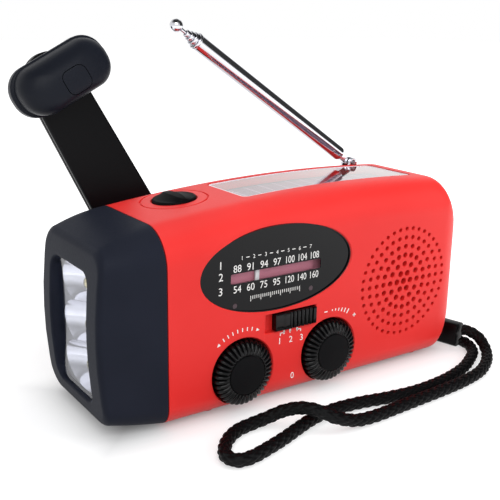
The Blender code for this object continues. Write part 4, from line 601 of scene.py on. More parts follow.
def hollow():
    # the space inside both shells: the body drawn in by the walls, less knob wells, screw posts and slide pad
    h, front, margin = housing, housing["front"], slot["padMargin"]
    wellBack = front + knob["wellDepth"] + knob["wellFloor"]
    cups = [rodY(x, knob["z"], knob["wellRadius"] + knob["wellWall"], front - 3 * cutPast, wellBack, 48)
            for x in knobPlaces]
    posts = [rodY(x, z, screwPost["radius"], h["front"], h["back"], 24) for x, z in screwPost["places"]]
    pad = boxMesh(slot["left"] - margin, slot["right"] + margin, front - cutPast,
                  front + h["wall"] + slot["pad"], slot["low"] - margin, slot["high"] + margin)
    core = addPiece("hollow", bodyMesh(h["seam"] - 3 * cutPast, h["wall"], h["topWall"]))
    carve(core, ("DIFFERENCE", joinMeshes(*cups)), ("DIFFERENCE", joinMeshes(*posts)), ("DIFFERENCE", pad))
    points, faces = readMesh(core.data)
    bpy.data.objects.remove(core, do_unlink=True)
    return points / mm, faces


def grilleHoles():
    # rings of round holes at even pitch, smaller towards the edge, each opened out a little at the face
    g, front = grille, housing["front"]
    end = front + housing["wall"] + cutPast
    holes = []
    for ring, number in enumerate((1, *g["rings"])):
        share = ring / len(g["rings"])
        radius = g["middle"] + (g["edge"] - g["middle"]) * share
        turn = np.linspace(0, 2 * math.pi, number, endpoint=False)
        across, up = g["radius"] * share * np.cos(turn), g["radius"] * share * np.sin(turn)
        holes += [roundHole(x, z, radius, front, 1, end, g["flare"], 14)
                  for x, z in zip(g["x"] + across, g["z"] + up)]
    return joinMeshes(*holes)


def feetAndEar():
    steps = [(foot["radius"] - inset, height) for inset, height in foot["steps"]]
    profile = [(0, steps[0][1]), *steps, (0, steps[-1][1])]
    feet = [placed(turnedMesh(profile, 32), Matrix.Translation((x, y, 0))) for x, y in foot["places"]]
    outline = roundedLoops(ear["from"], ear["to"], ear["z"] - ear["halfZ"], ear["z"] + ear["halfZ"],
                           [ear["corner"], ear["halfZ"], ear["halfZ"], ear["corner"]], 8, (0.5,))[0]
    lug = prismY(outline, ear["y"] - ear["thickness"] / 2, ear["y"] + ear["thickness"] / 2)
    return joinMeshes(*feet, lug)


def frontOpenings():
    # dial, knob wells, slide, solar window, the aerial's seat and the hole in the ear
    front, crown = housing["front"], housing["crownZ"]
    wellEnd = front + knob["wellDepth"]
    wells = [roundHole(x, knob["z"], knob["wellRadius"], front, 1, wellEnd, knob["wellFlare"], 72)
             for x in knobPlaces]
    window = roundedRect(solar["left"], solar["right"], solar["front"], solar["back"], solar["corner"])
    notch = ellipseLoop(aerial["notch"], aerial["notch"], 48) + (aerial["x"], aerial["y"])
    through = ear["thickness"] + cutPast
    return joinMeshes(flaredY(lambda m: dialLoop(m, 120), front, 1, front + dial["cutDeep"]), *wells,
                      flaredY(slotLoop, front, 1, front + slot["depth"], slot["flare"]),
                      prismZ(window, crown - solar["below"], crown + solar["above"]),
                      prismZ(notch, aerial["bossTop"] - aerial["notchDeep"], crown + 2 * cutPast),
                      rodY(ear["holeX"], ear["z"], ear["hole"], ear["y"] - through, ear["y"] + through, 24))


def stemHoles():
    # through the floors of the wells and the slot, and the pilot holes of the screws
    h, front = housing, housing["front"]
    wellEnd = front + knob["wellDepth"]
    radius = knob["stem"] + knob["stemRoom"]
    stems = [rodY(x, knob["z"], radius, wellEnd - cutPast, wellEnd + knob["stemDeep"]) for x in knobPlaces]
    slideHole = boxMesh(slot["stemX"] - slot["stemHalf"] - slot["travel"], slot["stemX"] + slot["stemHalf"],
                        front + slot["depth"] - slot["stemRoot"], front + h["wall"] + slot["pad"] + cutPast,
                        slotMiddle - slot["stemHalfZ"], slotMiddle + slot["stemHalfZ"])
    pilots = [rodY(x, z, screwPost["pilot"], screwPost["pilotFrom"], h["parting"] + cutPast, 16)
              for x, z in screwPost["places"]]
    return joinMeshes(*stems, slideHole, *pilots)


def switchCuts():
    # the well of the torch switch with the hole for its stem, and the round groove about it
    t = topSwitch
    lip = [(t["wellRadius"] + margin, height) for margin, height in t["wellLip"]]
    well = [(0, lip[0][1]), *lip, (t["wellRadius"], -t["wellDepth"]), (t["stem"], -t["wellDepth"]),
            (t["stem"], -t["stemDeep"]), (0, -t["stemDeep"])]
    inner, outer, slant = t["ring"], t["ring"] + t["ringWidth"], t["ringSlant"]
    groove = [(inner - slant, cutPast), (outer + slant, cutPast), (outer, -t["ringLip"]),
              (outer - slant, -t["ringDepth"]), (inner + slant, -t["ringDepth"]), (inner, -t["ringLip"])]
    return placed(joinMeshes(turnedMesh(well, 64), turnedMesh(groove, 96, wrapRows=True)), switchFrame)


def makeFrontShell(core):
    h, reach = housing, housing["reach"]
    shell = addPiece("front_housing", bodyMesh(h["seam"], 0.0, 0.0))
    carve(shell, ("DIFFERENCE", core),
          ("INTERSECT", boxMesh(-reach, reach, -reach, h["parting"] - h["gap"] / 2, -reach, reach)),
          ("UNION", feetAndEar()), ("DIFFERENCE", frontOpenings()), ("DIFFERENCE", stemHoles()),
          ("DIFFERENCE", switchCuts()), ("DIFFERENCE", grilleHoles()))
    dress(shell, redAbs, "housing", "red_abs", "front_shell")


def makeRearShell(core):
    h, back, reach, p = housing, housing["back"], housing["reach"], screwPost
    top, pocketEnd = aerial["bossTop"], back - crank["pocketDepth"]
    boss = prismZ(ellipseLoop(aerial["boss"], aerial["boss"], 40) + (aerial["x"], aerial["y"]),
                  top - aerial["bossDeep"], top + cutPast)
    axle = rodY(crank["idlerX"], crank["idlerZ"], crank["axle"], crank["axleFrom"], back - cutPast, 24)
    pocketWall = prismY(pocketLoop(h["wall"]), pocketEnd - h["wall"], back - cutPast)
    pocket = flaredY(pocketLoop, back, -1, pocketEnd, crank["pocketFlare"])
    seat = [(0, -aerial["boreDeep"]), (aerial["bore"], -aerial["boreDeep"]), (aerial["bore"], 0),
            (aerial["notch"], 0), (aerial["notch"], aerial["seatHigh"]), (0, aerial["seatHigh"])]
    seat = placed(turnedMesh(seat, 48), Matrix.Translation((aerial["x"], aerial["y"], top)))
    cover = flaredY(portLoop, back, -1, back - port["cover"] - h["gap"], port["flare"])
    socket = boxMesh(port["x"] - port["socketX"], port["x"] + port["socketX"], h["parting"], back - cutPast,
                     port["z"] - port["socketZ"], port["z"] + port["socketZ"])
    heads = [roundHole(x, z, p["head"], back, -1, back - p["headDeep"], p["headFlare"], 32)
             for x, z in p["places"]]
    shanks = [rodY(x, z, p["shank"], back - p["shankDeep"], back - p["shankFrom"], 16)
              for x, z in p["places"]]
    bearing = rodY(crank["x"], crank["z"], crank["bore"], h["parting"], back + cutPast, 40)
    shell = addPiece("rear_housing", bodyMesh(h["seam"], 0.0, 0.0))
    carve(shell, ("DIFFERENCE", core),
          ("INTERSECT", boxMesh(-reach, reach, h["parting"] + h["gap"] / 2, reach, -reach, reach)),
          ("UNION", joinMeshes(axle, boss)), ("UNION", pocketWall),
          ("DIFFERENCE", joinMeshes(bearing, seat, cover, *heads)),
          ("DIFFERENCE", joinMeshes(pocket, *shanks)), ("DIFFERENCE", socket))
    dress(shell, redAbs, "housing", "red_abs", "rear_shell")


inside = hollow()
makeFrontShell(inside)
makeRearShell(inside)
print("shells made")


# Housing screws: domed heads with a cross recess, sunk in the rear shell

screw = {"head": 2.5, "headHeight": 1.6, "crown": 0.7, "shank": 1.1, "length": 15.0, "sunk": 1.2,
         "crossHalf": 1.45, "crossWidth": 0.3, "crossDepth": 0.9, "turnEach": 23.0}


def makeScrews():
    s = screw
    bend = quarterTurn(8)
    dome = np.column_stack([s["head"] * np.cos(bend), s["crown"] * (np.sin(bend) - 1)])
    end, under = -s["headHeight"] - s["length"], -s["headHeight"]
    profile = np.concatenate([[(0, end), (s["shank"], end), (s["shank"], under), (s["head"], under)], dome])
    long, narrow = s["crossHalf"], s["crossWidth"]
    cross = [boxMesh(-x, x, -y, y, -s["crossDepth"], cutPast) for x, y in ((long, narrow), (narrow, long))]
    for i, (x, z) in enumerate(screwPost["places"], 1):
        place = (Matrix.Translation((x, housing["back"] - s["sunk"], z))
                 @ Matrix.Rotation(math.radians(-90), 4, "X")
                 @ Matrix.Rotation(math.radians(s["turnEach"] * i), 4, "Z"))
        piece = addPiece(f"screw_{i}", placed(turnedMesh(profile, 40), place))
        carve(piece, *[("DIFFERENCE", placed(bar, place)) for bar in cross])
        dress(piece, plainSteel, "housing", "steel", f"housing_screw_{i}")


makeScrews()


# Window edge: a thin bead of clear plastic round the solar window, bent to the arch of the top

windowEdge = {"margins": (0.35, 0.35, 0.85, 0.85), "heights": (-0.4, -0.2, -0.2, -0.4), "cornerShare": 0.5}


def makeWindowEdge():
    margins = np.array(windowEdge["margins"])
    corner = solar["corner"] - windowEdge["cornerShare"] * margins
    loops = roundedLoops(solar["left"] + margins, solar["right"] - margins, solar["front"] + margins,
                         solar["back"] - margins, [corner] * 4, 6, np.linspace(0.03, 0.97, 24))
    grid = alongAxis(loops, np.zeros(4), (0, 1, 2))
    grid[..., 2] = topZ(grid[..., 0]) + np.array(windowEdge["heights"])[:, None]
    edge = addPiece("window_edge", gridMesh(grid, wrapRows=True))
    dress(edge, frostedEdge, "housing", "clear_plastic")


makeWindowEdge()
print("screws and window edge made")


# Torch head: one skin from the seam over the bowed end, in through the window and back along the inside

torch = {"seam": -46.1, "left": -64.6, "front": -18.8, "back": 19.6, "low": 2.4, "high": 50.6, "edge": 1.6,
         "endTopBack": 4.6, "endTopFront": 5.4, "cornerShare": 0.5, "cornerLeast": 1.0, "crown": 130.0,
         "bowEase": 1.7, "endWall": 4.0, "wallStep": 0.6, "bulge": 0.5, "windowFront": -11.2,
         "windowBack": 13.2, "windowLow": 7.2, "windowHigh": 43.8, "corner": 4.0, "fillet": 0.7}
reflector = {"lip": 2.0, "lipThickness": 1.2, "margin": 0.6, "cups": 3, "pitch": 11.9, "cupRadius": 6.7,
             "cupWide": 12.5, "cupDepth": 7.5, "cupFloor": 0.9, "ledBore": 3.2, "boreDeep": 4.0}
led = {"radius": 2.5, "length": 6.5, "flange": 2.9, "flangeHeight": 0.9,
       "chip": ((0, 1.0), (1.3, 1.0), (1.5, 2.2), (1.2, 2.2), (0.7, 1.6), (0, 1.6))}
torchLength = torch["seam"] - torch["left"]
windowX = torch["left"] + torch["endWall"]
lipX = windowX + housing["gap"]
cupEnd = lipX + reflector["cupDepth"]
cupY = (torch["windowFront"] + torch["windowBack"]) / 2
cupZ = ((torch["windowLow"] + torch["windowHigh"]) / 2
        + reflector["pitch"] * (np.arange(reflector["cups"]) - (reflector["cups"] - 1) / 2))


def bowAt(z):
    # how far the end bends back with height from its middle
    middle = (torch["low"] + torch["high"]) / 2
    return (z - middle) ** 2 / (2 * torch["crown"])


def torchSections(share, inset, edge, bow):
    # the head's section at shares of its length: sides draw in linearly, and the end bends back with height
    h = housing
    x = torch["seam"] + (torch["left"] - torch["seam"]) * share

    def mix(a, b):
        return a + (b - a) * share

    allInset = inset + edge
    bottom = np.maximum(h["edgeBottom"] - torch["cornerShare"] * allInset, torch["cornerLeast"])
    loops = roundedLoops(mix(h["front"], torch["front"]) + allInset, mix(h["back"], torch["back"]) - allInset,
                         mix(0.0, torch["low"]) + np.maximum(allInset, 0.0),
                         mix(float(topZ(h["seam"])), torch["high"]) - allInset,
                         [bottom, bottom, mix(h["edgeTopBack"], torch["endTopBack"]) - inset,
                          mix(h["edgeTopFront"], torch["endTopFront"]) - inset], arcSteps=12)
    grid = alongAxis(loops, x, (1, 2, 0))
    grid[..., 0] += np.asarray(bow)[:, None] * bowAt(grid[..., 2])
    return grid


def windowLoops(margins):
    margins = np.asarray(margins, float)
    return roundedLoops(torch["windowFront"] - margins, torch["windowBack"] + margins,
                        torch["windowLow"] - margins, torch["windowHigh"] + margins,
                        [torch["corner"] + margins] * 4, arcSteps=12)


def makeTorchHead():
    t, fillet = torch, torch["fillet"]
    edgeShare = t["edge"] / torchLength
    share = np.linspace(0, 1 - edgeShare, 20)
    along = share / (1 - edgeShare)
    skin = torchSections(share, -t["bulge"] * np.sin(math.pi * along), 0.0, along ** t["bowEase"])
    turn = quarterTurn(11)[1:]
    edge = torchSections(1 - edgeShare * (1 - np.sin(turn)), 0.0, t["edge"] * (1 - np.cos(turn)), np.ones(10))
    mix = np.linspace(0, 1, 9)[1:, None, None]
    face = np.empty((8, edge.shape[1], 3))
    face[..., 1:] = edge[-1:, :, 1:] * (1 - mix) + windowLoops([fillet]) * mix
    face[..., 0] = t["left"] + bowAt(face[..., 2])
    bend = quarterTurn(7)[1:]
    lip = np.empty((6, edge.shape[1], 3))
    lip[..., 1:] = windowLoops(fillet * (1 - np.sin(bend)))
    lip[..., 0] = t["left"] + bowAt(lip[..., 2]) + fillet * (1 - np.cos(bend))[:, None]
    wall = alongAxis(windowLoops([0.0, 0.0]), [windowX - t["wallStep"], windowX], (1, 2, 0))
    inner = np.linspace(1 - t["endWall"] / torchLength, 0, 8)
    lining = torchSections(inner, housing["wall"] - t["bulge"] * np.sin(math.pi * inner), 0.0, np.zeros(8))
    grid = np.concatenate([skin, edge, face, lip, wall, lining])
    head = addPiece("torch_head", gridMesh(grid, wrapRows=True))
    dress(head, blackHead, "housing", "black_abs", "torch_bezel", sharp=50)


def makeReflector():
    # bowls that narrow as the root of their depth from an oval mouth to the round hole for the diode, and
    # run into one another at their mouths
    r = reflector
    bore, radius, depth = r["ledBore"], r["cupRadius"], r["cupDepth"] * r["cupFloor"]
    fall = np.linspace(0, 1, 14)
    reach = np.sqrt(1 - fall)
    tall, wide = bore + (radius - bore) * reach, bore + (r["cupWide"] - bore) * reach
    before, after = -2 * cutPast, depth + r["boreDeep"]
    bowl = np.concatenate([[(0, before), (radius, before)], np.column_stack([tall, depth * fall]),
                           [(bore, after), (0, after)]])
    widen = wide / tall
    oval = turnedGrid(bowl, 72)
    oval[..., 1] *= np.concatenate([np.full(2, widen[0]), widen, np.ones(2)])[:, None]
    toBack = Matrix.Rotation(math.radians(90), 4, "Y")
    cups = [placed(gridMesh(oval), Matrix.Translation((lipX, cupY, z)) @ toBack) for z in cupZ]
    block = addPiece("reflector", prismX(windowLoops([r["margin"]])[0], lipX, cupEnd))
    carve(block, ("UNION", prismX(windowLoops([r["lip"]])[0], lipX, lipX + r["lipThickness"])),
          *[("DIFFERENCE", cup) for cup in cups])
    dress(block, reflectorFilm, "housing", "reflector_chrome", "torch_reflector")


def makeLeds():
    turn = quarterTurn(10)
    radius, flange, step = led["radius"], led["flange"], led["flangeHeight"]
    dome = np.column_stack([radius * np.cos(turn), led["length"] - radius + radius * np.sin(turn)])
    bulb = np.concatenate([[(0, 0), (flange, 0), (flange, step), (radius, step)], dome])
    toFront = Matrix.Rotation(math.radians(-90), 4, "Y")
    for i, z in enumerate(cupZ, 1):
        place = Matrix.Translation((cupEnd, cupY, z)) @ toFront
        lamp = addPiece(f"led_{i}", placed(turnedMesh(bulb, 40), place))
        dress(lamp, ledResin, "housing", "led_resin", f"torch_led_{i}")
        die = addPiece(f"led_die_{i}", placed(turnedMesh(led["chip"], 24), place))
        dress(die, ledPhosphor, "housing", "led_resin")


makeTorchHead()
makeReflector()
makeLeds()
print("torch made")


# Fluted knobs: a turned profile pressed in along its normal between convex ribs, with a matt disc in the face

knobCap = {"proud": 2.6, "rimRise": 2.4, "rimInner": 6.05, "under": 9.0, "lip": 0.15, "lipRise": 0.1,
           "sideFrom": 0.5, "sideTo": 2.8, "stemLength": 4.5,
           "recess": ((5.9, 0.25), (5.85, 0.5), (0, 0.5)), "flutes": 36, "fluteDepth": 0.8, "ribRound": 0.7,
           "pressFade": 0.35, "lipPress": 0.6, "stepsPerRib": 12, "disc": 5.7, "discEdge": 0.3,
           "discBack": 0.45}


def makeKnob(name, x, body):
    c, radius, stem = knobCap, knob["radius"], knob["stem"]
    seat = knob["wellDepth"] - housing["gap"]
    face = seat + c["proud"]
    turn = quarterTurn(12)
    rim = np.column_stack([c["rimInner"] + (radius - c["rimInner"]) * np.cos(turn),
                           face - c["proud"] + c["rimRise"] * np.sin(turn)])
    side = np.column_stack([np.full(5, radius), np.linspace(c["sideFrom"], face - c["sideTo"], 5)])
    profile = np.concatenate([[(0, -c["stemLength"]), (stem, -c["stemLength"]), (stem, 0), (c["under"], 0),
                               (radius - c["lip"], c["lipRise"])], side, rim,
                              [(r, face - sunk) for r, sunk in c["recess"]]])
    press = np.concatenate([np.zeros(4), [c["lipPress"]], np.ones(5), np.cos(turn) ** c["pressFade"],
                            np.zeros(3)])
    step = np.gradient(profile, axis=0)
    normal = np.column_stack([step[:, 1], -step[:, 0]])
    normal /= np.maximum(np.linalg.norm(normal, axis=1), 1e-9)[:, None]
    around = np.linspace(0, 2 * math.pi, c["flutes"] * c["stepsPerRib"], endpoint=False)
    groove = 1 - np.abs(np.sin(c["flutes"] * around / 2)) ** c["ribRound"]
    sunk = c["fluteDepth"] * press[:, None] * groove[None, :]
    reach = np.maximum(profile[:, :1] - sunk * normal[:, :1], meshing["pole"])
    height = profile[:, 1:] - sunk * normal[:, 1:]
    grid = np.stack(np.broadcast_arrays(reach * np.cos(around), reach * np.sin(around), height), -1)
    outOfFront = Matrix.Rotation(math.radians(90), 4, "X")
    place = Matrix.Translation((x, housing["front"] + seat, knob["z"])) @ outOfFront
    piece = addPiece(name + "_fluted", placed(gridMesh(grid), place))
    dress(piece, blackGloss, body, "black_abs", name, sharp=60)
    bend, edge, back = quarterTurn(6), c["discEdge"], face - c["discBack"]
    rounded = np.column_stack([c["disc"] - edge + edge * np.cos(bend), face - edge + edge * np.sin(bend)])
    disc = np.concatenate([[(0, back), (c["disc"], back)], rounded, [(0, face)]])
    cap = addPiece(name + "_disc", placed(turnedMesh(disc, 96), place))
    dress(cap, blackMatt, body, "black_abs")


makeKnob("tuning_knob", knob["tuningX"], "tuning")
makeKnob("volume_knob", knob["volumeX"], "volume")
print("knobs made")


# Ink: flat outlines of (x, z) as thin closed plates that stand on y

# capHeight is a numeral's share of the font's size
ink = {"thickness": 0.02, "sunk": 0.01, "capHeight": 0.73}


def inkMesh(loops, y):
    return joinMeshes(*[prismY(loop, y - ink["thickness"], y + ink["sunk"]) for loop in loops])


def inkBar(x0, z0, x1, z1, width):
    ahead = np.array([x1 - x0, z1 - z0], float)
    side = np.array([-ahead[1], ahead[0]]) / np.linalg.norm(ahead) * width / 2
    start, end = np.array([x0, z0]), np.array([x1, z1])
    return np.array([start - side, end - side, end + side, start + side])


def inkArrow(x, z, degrees, size):
    turn = np.radians(degrees + np.array([0, 130, 230]))
    return np.stack([x + size * np.cos(turn), z + size * np.sin(turn)], -1)


def inkNumber(text, x, z, height, y, wide=1.0):
    # a number set with its middle on (x, z), made a mesh before it is placed
    data = bpy.data.curves.new("number", "FONT")
    data.body = text
    data.size = height / ink["capHeight"]
    data.align_x = "CENTER"
    data.resolution_u = 4
    data.extrude = (ink["thickness"] + ink["sunk"]) / 2
    shape = bpy.data.objects.new("number", data)
    bpy.context.scene.collection.objects.link(shape)
    bpy.context.view_layer.update()
    flat = bpy.data.meshes.new_from_object(shape.evaluated_get(bpy.context.evaluated_depsgraph_get()))
    points, faces = readMesh(flat)
    bpy.data.objects.remove(shape, do_unlink=True)
    across, up, out = points.T
    middle = y + (ink["sunk"] - ink["thickness"]) / 2
    return np.column_stack([x + wide * across, middle - out, z + up - height / 2]), faces


# Dial: black ink on the clear window leaves a strip open, through which the pointer shows

scale = {"upper": ("88", "91", "94", "97", "100", "104", "108"), "upperZ": 41.85,
         "lower": ("54", "60", "75", "95", "120", "140", "160"), "lowerZ": 35.95, "from": -24.0, "to": 2.5,
         "height": 2.15, "wide": 0.92, "narrow": 0.8, "smallIn": 1.5, "smallZ": 44.6, "smallHeight": 1.15,
         "dashFrom": 1.3, "dashTo": 2.4, "dash": 0.22,
         "labels": (("1", -29.4, 43.5), ("2", -29.3, 40.2), ("3", -29.4, 36.1)), "labelHeight": 2.3,
         "tickFrom": -19.5, "tickTo": -2.5, "ticks": 26, "tickTop": 33.2, "tickLow": 32.2,
         "longTickLow": 31.6, "tick": 0.2, "longEvery": 5}
mask = {"ahead": 0.2, "margin": 0.3, "front": 0.04, "back": 0.16, "print": 0.03, "openLeft": -26.1,
        "openRight": 5.0, "openHalf": 1.45, "openCorner": 0.5, "lights": ((-24.7, 31.1), (1.65, 31.8)),
        "light": 0.72, "lightRoom": 0.03, "lightFront": 0.05, "lightBack": 0.5,
        "rimFront": -21.15, "rimBack": 0.4, "rimMargins": (0.02, 0.3, 0.3, 0.02)}
film = {"left": -25.6, "right": 3.8, "half": 2.0, "corner": 0.3, "ahead": 0.2, "thickness": 0.1}
inkFace = dial["lensFront"] - mask["ahead"]


def makeMask():
    # the ink, open along the strip and at two small lights, and a black sleeve round the edge of the window
    m, z = mask, dial["pointerZ"]
    sheet = addPiece("dial_mask", prismY(dialLoop(-m["margin"]), inkFace + m["front"], inkFace + m["back"]))
    low, high = inkFace - cutPast, inkFace + cutPast
    strip = roundedRect(m["openLeft"], m["openRight"], z - m["openHalf"], z + m["openHalf"], m["openCorner"])
    holes = [rodY(x, z, m["light"] + m["lightRoom"], low, high, 24) for x, z in m["lights"]]
    carve(sheet, ("DIFFERENCE", joinMeshes(prismY(strip, low, high), *holes)))
    dress(sheet, blackInk, "housing", "dial_plate")
    depths = [m["rimFront"]] * 2 + [inkFace + m["rimBack"]] * 2
    loops = [dialLoop(-margin) for margin in m["rimMargins"]]
    sleeve = addPiece("dial_rim", gridMesh(alongAxis(loops, depths, (0, 2, 1)), wrapRows=True))
    dress(sleeve, blackInk, "housing", "dial_gloss")


def makeScale():
    k, y = scale, inkFace + mask["print"]
    marks = []
    for x, high, low in zip(np.linspace(k["from"], k["to"], len(k["upper"])), k["upper"], k["lower"]):
        marks += [inkNumber(text, x, z, k["height"], y, k["wide"] if len(text) < 3 else k["narrow"])
                  for text, z in ((high, k["upperZ"]), (low, k["lowerZ"]))]
    count = len(k["upper"])
    for i, x in enumerate(np.linspace(k["from"] + k["smallIn"], k["to"] - k["smallIn"], count), 1):
        marks.append(inkNumber(str(i), x, k["smallZ"], k["smallHeight"], y))
        if i < count:
            dash = inkBar(x + k["dashFrom"], k["smallZ"], x + k["dashTo"], k["smallZ"], k["dash"])
            marks.append(inkMesh([dash], y))
    marks += [inkNumber(text, x, z, k["labelHeight"], y) for text, x, z in k["labels"]]
    ticks = [inkBar(x, k["tickTop"], x, k["tickLow"] if i % k["longEvery"] else k["longTickLow"], k["tick"])
             for i, x in enumerate(np.linspace(k["tickFrom"], k["tickTo"], k["ticks"]))]
    marks.append(inkMesh(ticks, y))
    numbers = addPiece("dial_numbers", joinMeshes(*marks))
    dress(numbers, whiteInk, "housing", "white_plastic")


def makeLights():
    m = mask
    near, far = inkFace + m["lightFront"], inkFace + m["lightBack"]
    spots = [rodY(x, z, m["light"], near, far, 24) for x, z in m["lights"]]
    dots = addPiece("dial_lights", joinMeshes(*spots))
    dress(dots, dullLed, "housing", "led_resin")


def makePointerFilm():
    f, z = film, dial["pointerZ"]
    front = dial["plateFront"] - f["ahead"]
    outline = roundedRect(f["left"], f["right"], z - f["half"], z + f["half"], f["corner"])
    sheet = addPiece("pointer_film", prismY(outline, front, front + f["thickness"]))
    dress(sheet, pinkFilm, "pointer", "white_plastic")


makeMask()
makeScale()
makeLights()
makePointerFilm()


# Print on the front: marks round the knobs and under the slide

frontPrint = {"tuneFrom": 128.0, "tuneTo": 70.0, "tuneMarks": 9, "tuneReach": 12.6, "tuneIn": 0.35,
              "tuneOut": 0.75, "tuneBar": 0.3, "arrow": 0.65, "arrowAside": 0.4, "arrowDown": 0.2,
              "volumeFrom": 86.0, "volumeTo": 58.0, "volumeMarks": 6, "volumeReach": 12.3,
              "volumeLeast": 0.5, "volumeGrow": 0.22, "volumeBar": 0.34, "signBar": 0.32,
              "signs": ((6.5, 23.6, 7.7, 23.6), (17.7, 20.6, 18.9, 20.6), (18.3, 20.0, 18.3, 21.2)),
              "stops": ((-8.2, -1.0), (-6.05, 0.0), (-3.5, 1.0)), "stopTop": 20.65, "stopLow": 19.75,
              "stopBar": 0.3, "stopDot": 0.38, "stopDotZ": 20.55, "branchZ": 20.3, "branch": 1.3,
              "branchTop": 20.44, "branchLow": 19.5, "branchBar": 0.28, "numberHeight": 2.0,
              "numbers": (("1", -9.7, 18.0), ("2", -5.7, 17.8), ("3", -1.8, 17.6), ("0", -4.8, 6.2))}


def tuningMarks():
    # ticks on an arc round the knob between two arrowheads
    p = frontPrint
    turn = np.radians(np.linspace(p["tuneFrom"], p["tuneTo"], p["tuneMarks"]))
    x, z = knob["tuningX"] + p["tuneReach"] * np.cos(turn), knob["z"] + p["tuneReach"] * np.sin(turn)
    low, high = p["tuneIn"], p["tuneOut"]
    bars = [inkBar(u - low * math.cos(a), v - low * math.sin(a), u + high * math.cos(a),
                   v + high * math.sin(a), p["tuneBar"]) for u, v, a in zip(x[1:-1], z[1:-1], turn[1:-1])]
    return bars + [inkArrow(x[0] - p["arrowAside"], z[0] - p["arrowDown"], p["tuneFrom"] + 90, p["arrow"]),
                   inkArrow(x[-1] + p["arrowAside"], z[-1], p["tuneTo"] - 90, p["arrow"])]


def volumeMarks():
    # ticks that grow from a minus to a plus
    p = frontPrint
    bars = [inkBar(*line, p["signBar"]) for line in p["signs"]]
    for i, a in enumerate(np.radians(np.linspace(p["volumeFrom"], p["volumeTo"], p["volumeMarks"]))):
        x, z = knob["volumeX"] + p["volumeReach"] * math.cos(a), knob["z"] + p["volumeReach"] * math.sin(a)
        tall = p["volumeLeast"] + p["volumeGrow"] * i
        bars.append(inkBar(x, z, x + tall * math.cos(a), z + tall * math.sin(a), p["volumeBar"]))
    return bars


def slideMarks():
    # a line with a dot at each stop of the slide, and branches that lead the outer two to their numbers
    p = frontPrint
    bars = []
    for x, aside in p["stops"]:
        bars += [inkBar(x, p["stopTop"], x, p["stopLow"], p["stopBar"]),
                 ellipseLoop(p["stopDot"], p["stopDot"], 16) + (x, p["stopDotZ"])]
        if aside:
            end = x + aside * p["branch"]
            bars += [inkBar(x, p["branchZ"], end, p["branchZ"], p["branchBar"]),
                     inkBar(end, p["branchTop"], end, p["branchLow"], p["branchBar"])]
    return bars


def makePrint():
    p, front = frontPrint, housing["front"]
    marks = [inkMesh(tuningMarks() + volumeMarks() + slideMarks(), front)]
    marks += [inkNumber(text, x, z, p["numberHeight"], front) for text, x, z in p["numbers"]]
    printed = addPiece("front_print", joinMeshes(*marks))
    dress(printed, whiteInk, "housing", "white_plastic")


makePrint()
print("dial and print made")


# Crank: arm with rounded edges, domed grip with a step round it and a plug in its face

arm = {"swing": 25.6, "lean": 9.0, "length": 62.5, "half": 10.5, "tip": 8.3, "thick": 2.25, "heel": 3.0,
       "edge": 0.7, "groove": 0.5, "grooveHalf": 0.6, "grooveSlant": 0.2, "slotHalf": 5.0, "slotTo": 6.6,
       "pinHole": 1.8, "gripHole": 2.5, "through": 5.0, "throughSide": 20.0}
grip = {"turn": 2.5, "halfX": 15.8, "halfY": 7.7, "shift": 1.4, "cornerShare": 0.92, "depth": 12.6,
        "rim": 3.4, "lean": 2.0, "leanEase": 1.3, "step": 0.5, "fullness": 3.0, "gap": 0.3, "bore": 2.5,
        "boreTo": 7.75, "rimSizes": (0.955, 0.98, 0.995, 1.0, 1.0, 0.995, 0.98, 0.945),
        "rimRises": (0, 0.06, 0.2, 0.45)}
plug = {"x": 2.2, "y": -2.4, "halfX": 3.8, "halfY": 3.5, "corner": 2.2, "depth": 2.2, "seam": 0.2}


def armPlace():
    # x across the arm, y along it from the fold pin to the grip, and z in towards the housing
    swing, lean = math.radians(arm["swing"]), math.radians(arm["lean"])
    across = Vector((math.cos(swing), 0, math.sin(swing)))
    up = Vector((-math.sin(swing), 0, math.cos(swing)))
    back = Vector((0, 1, 0))
    along = up * math.cos(lean) + back * math.sin(lean)
    inward = -back * math.cos(lean) + up * math.sin(lean)
    place = Matrix((across, along, inward)).transposed().to_4x4()
    place.translation = (crank["x"], crank["pinY"], crank["z"])
    return place


def armLoop(inset):
    # a tapered strip from the heel up to a round tip
    half, tip, heel = arm["half"] - inset, arm["tip"] - inset, -arm["heel"] + inset
    side = np.linspace(0, 1, 8)[:-1, None]
    right = np.array([[half, heel]]) * (1 - side) + np.array([[tip, arm["length"]]]) * side
    turn = np.radians(np.linspace(0, 180, 41))
    top = np.stack([tip * np.cos(turn), arm["length"] + tip * np.sin(turn)], -1)
    return np.concatenate([right, top, right[::-1] * (-1, 1)])


def gripLoop(size, arcSteps=14):
    halfX, halfY = grip["halfX"] * size, grip["halfY"] * size
    return roundedLoops(grip["shift"] - halfX, grip["shift"] + halfX, -halfY, halfY,
                        [halfY * grip["cornerShare"]] * 4, arcSteps, (0.25, 0.5, 0.75))[0]


def plugLoop(margin):
    halfX, halfY = plug["halfX"] + margin, plug["halfY"] + margin
    return roundedRect(plug["x"] - halfX, plug["x"] + halfX, plug["y"] - halfY, plug["y"] + halfY,
                       plug["corner"] + margin, 8)


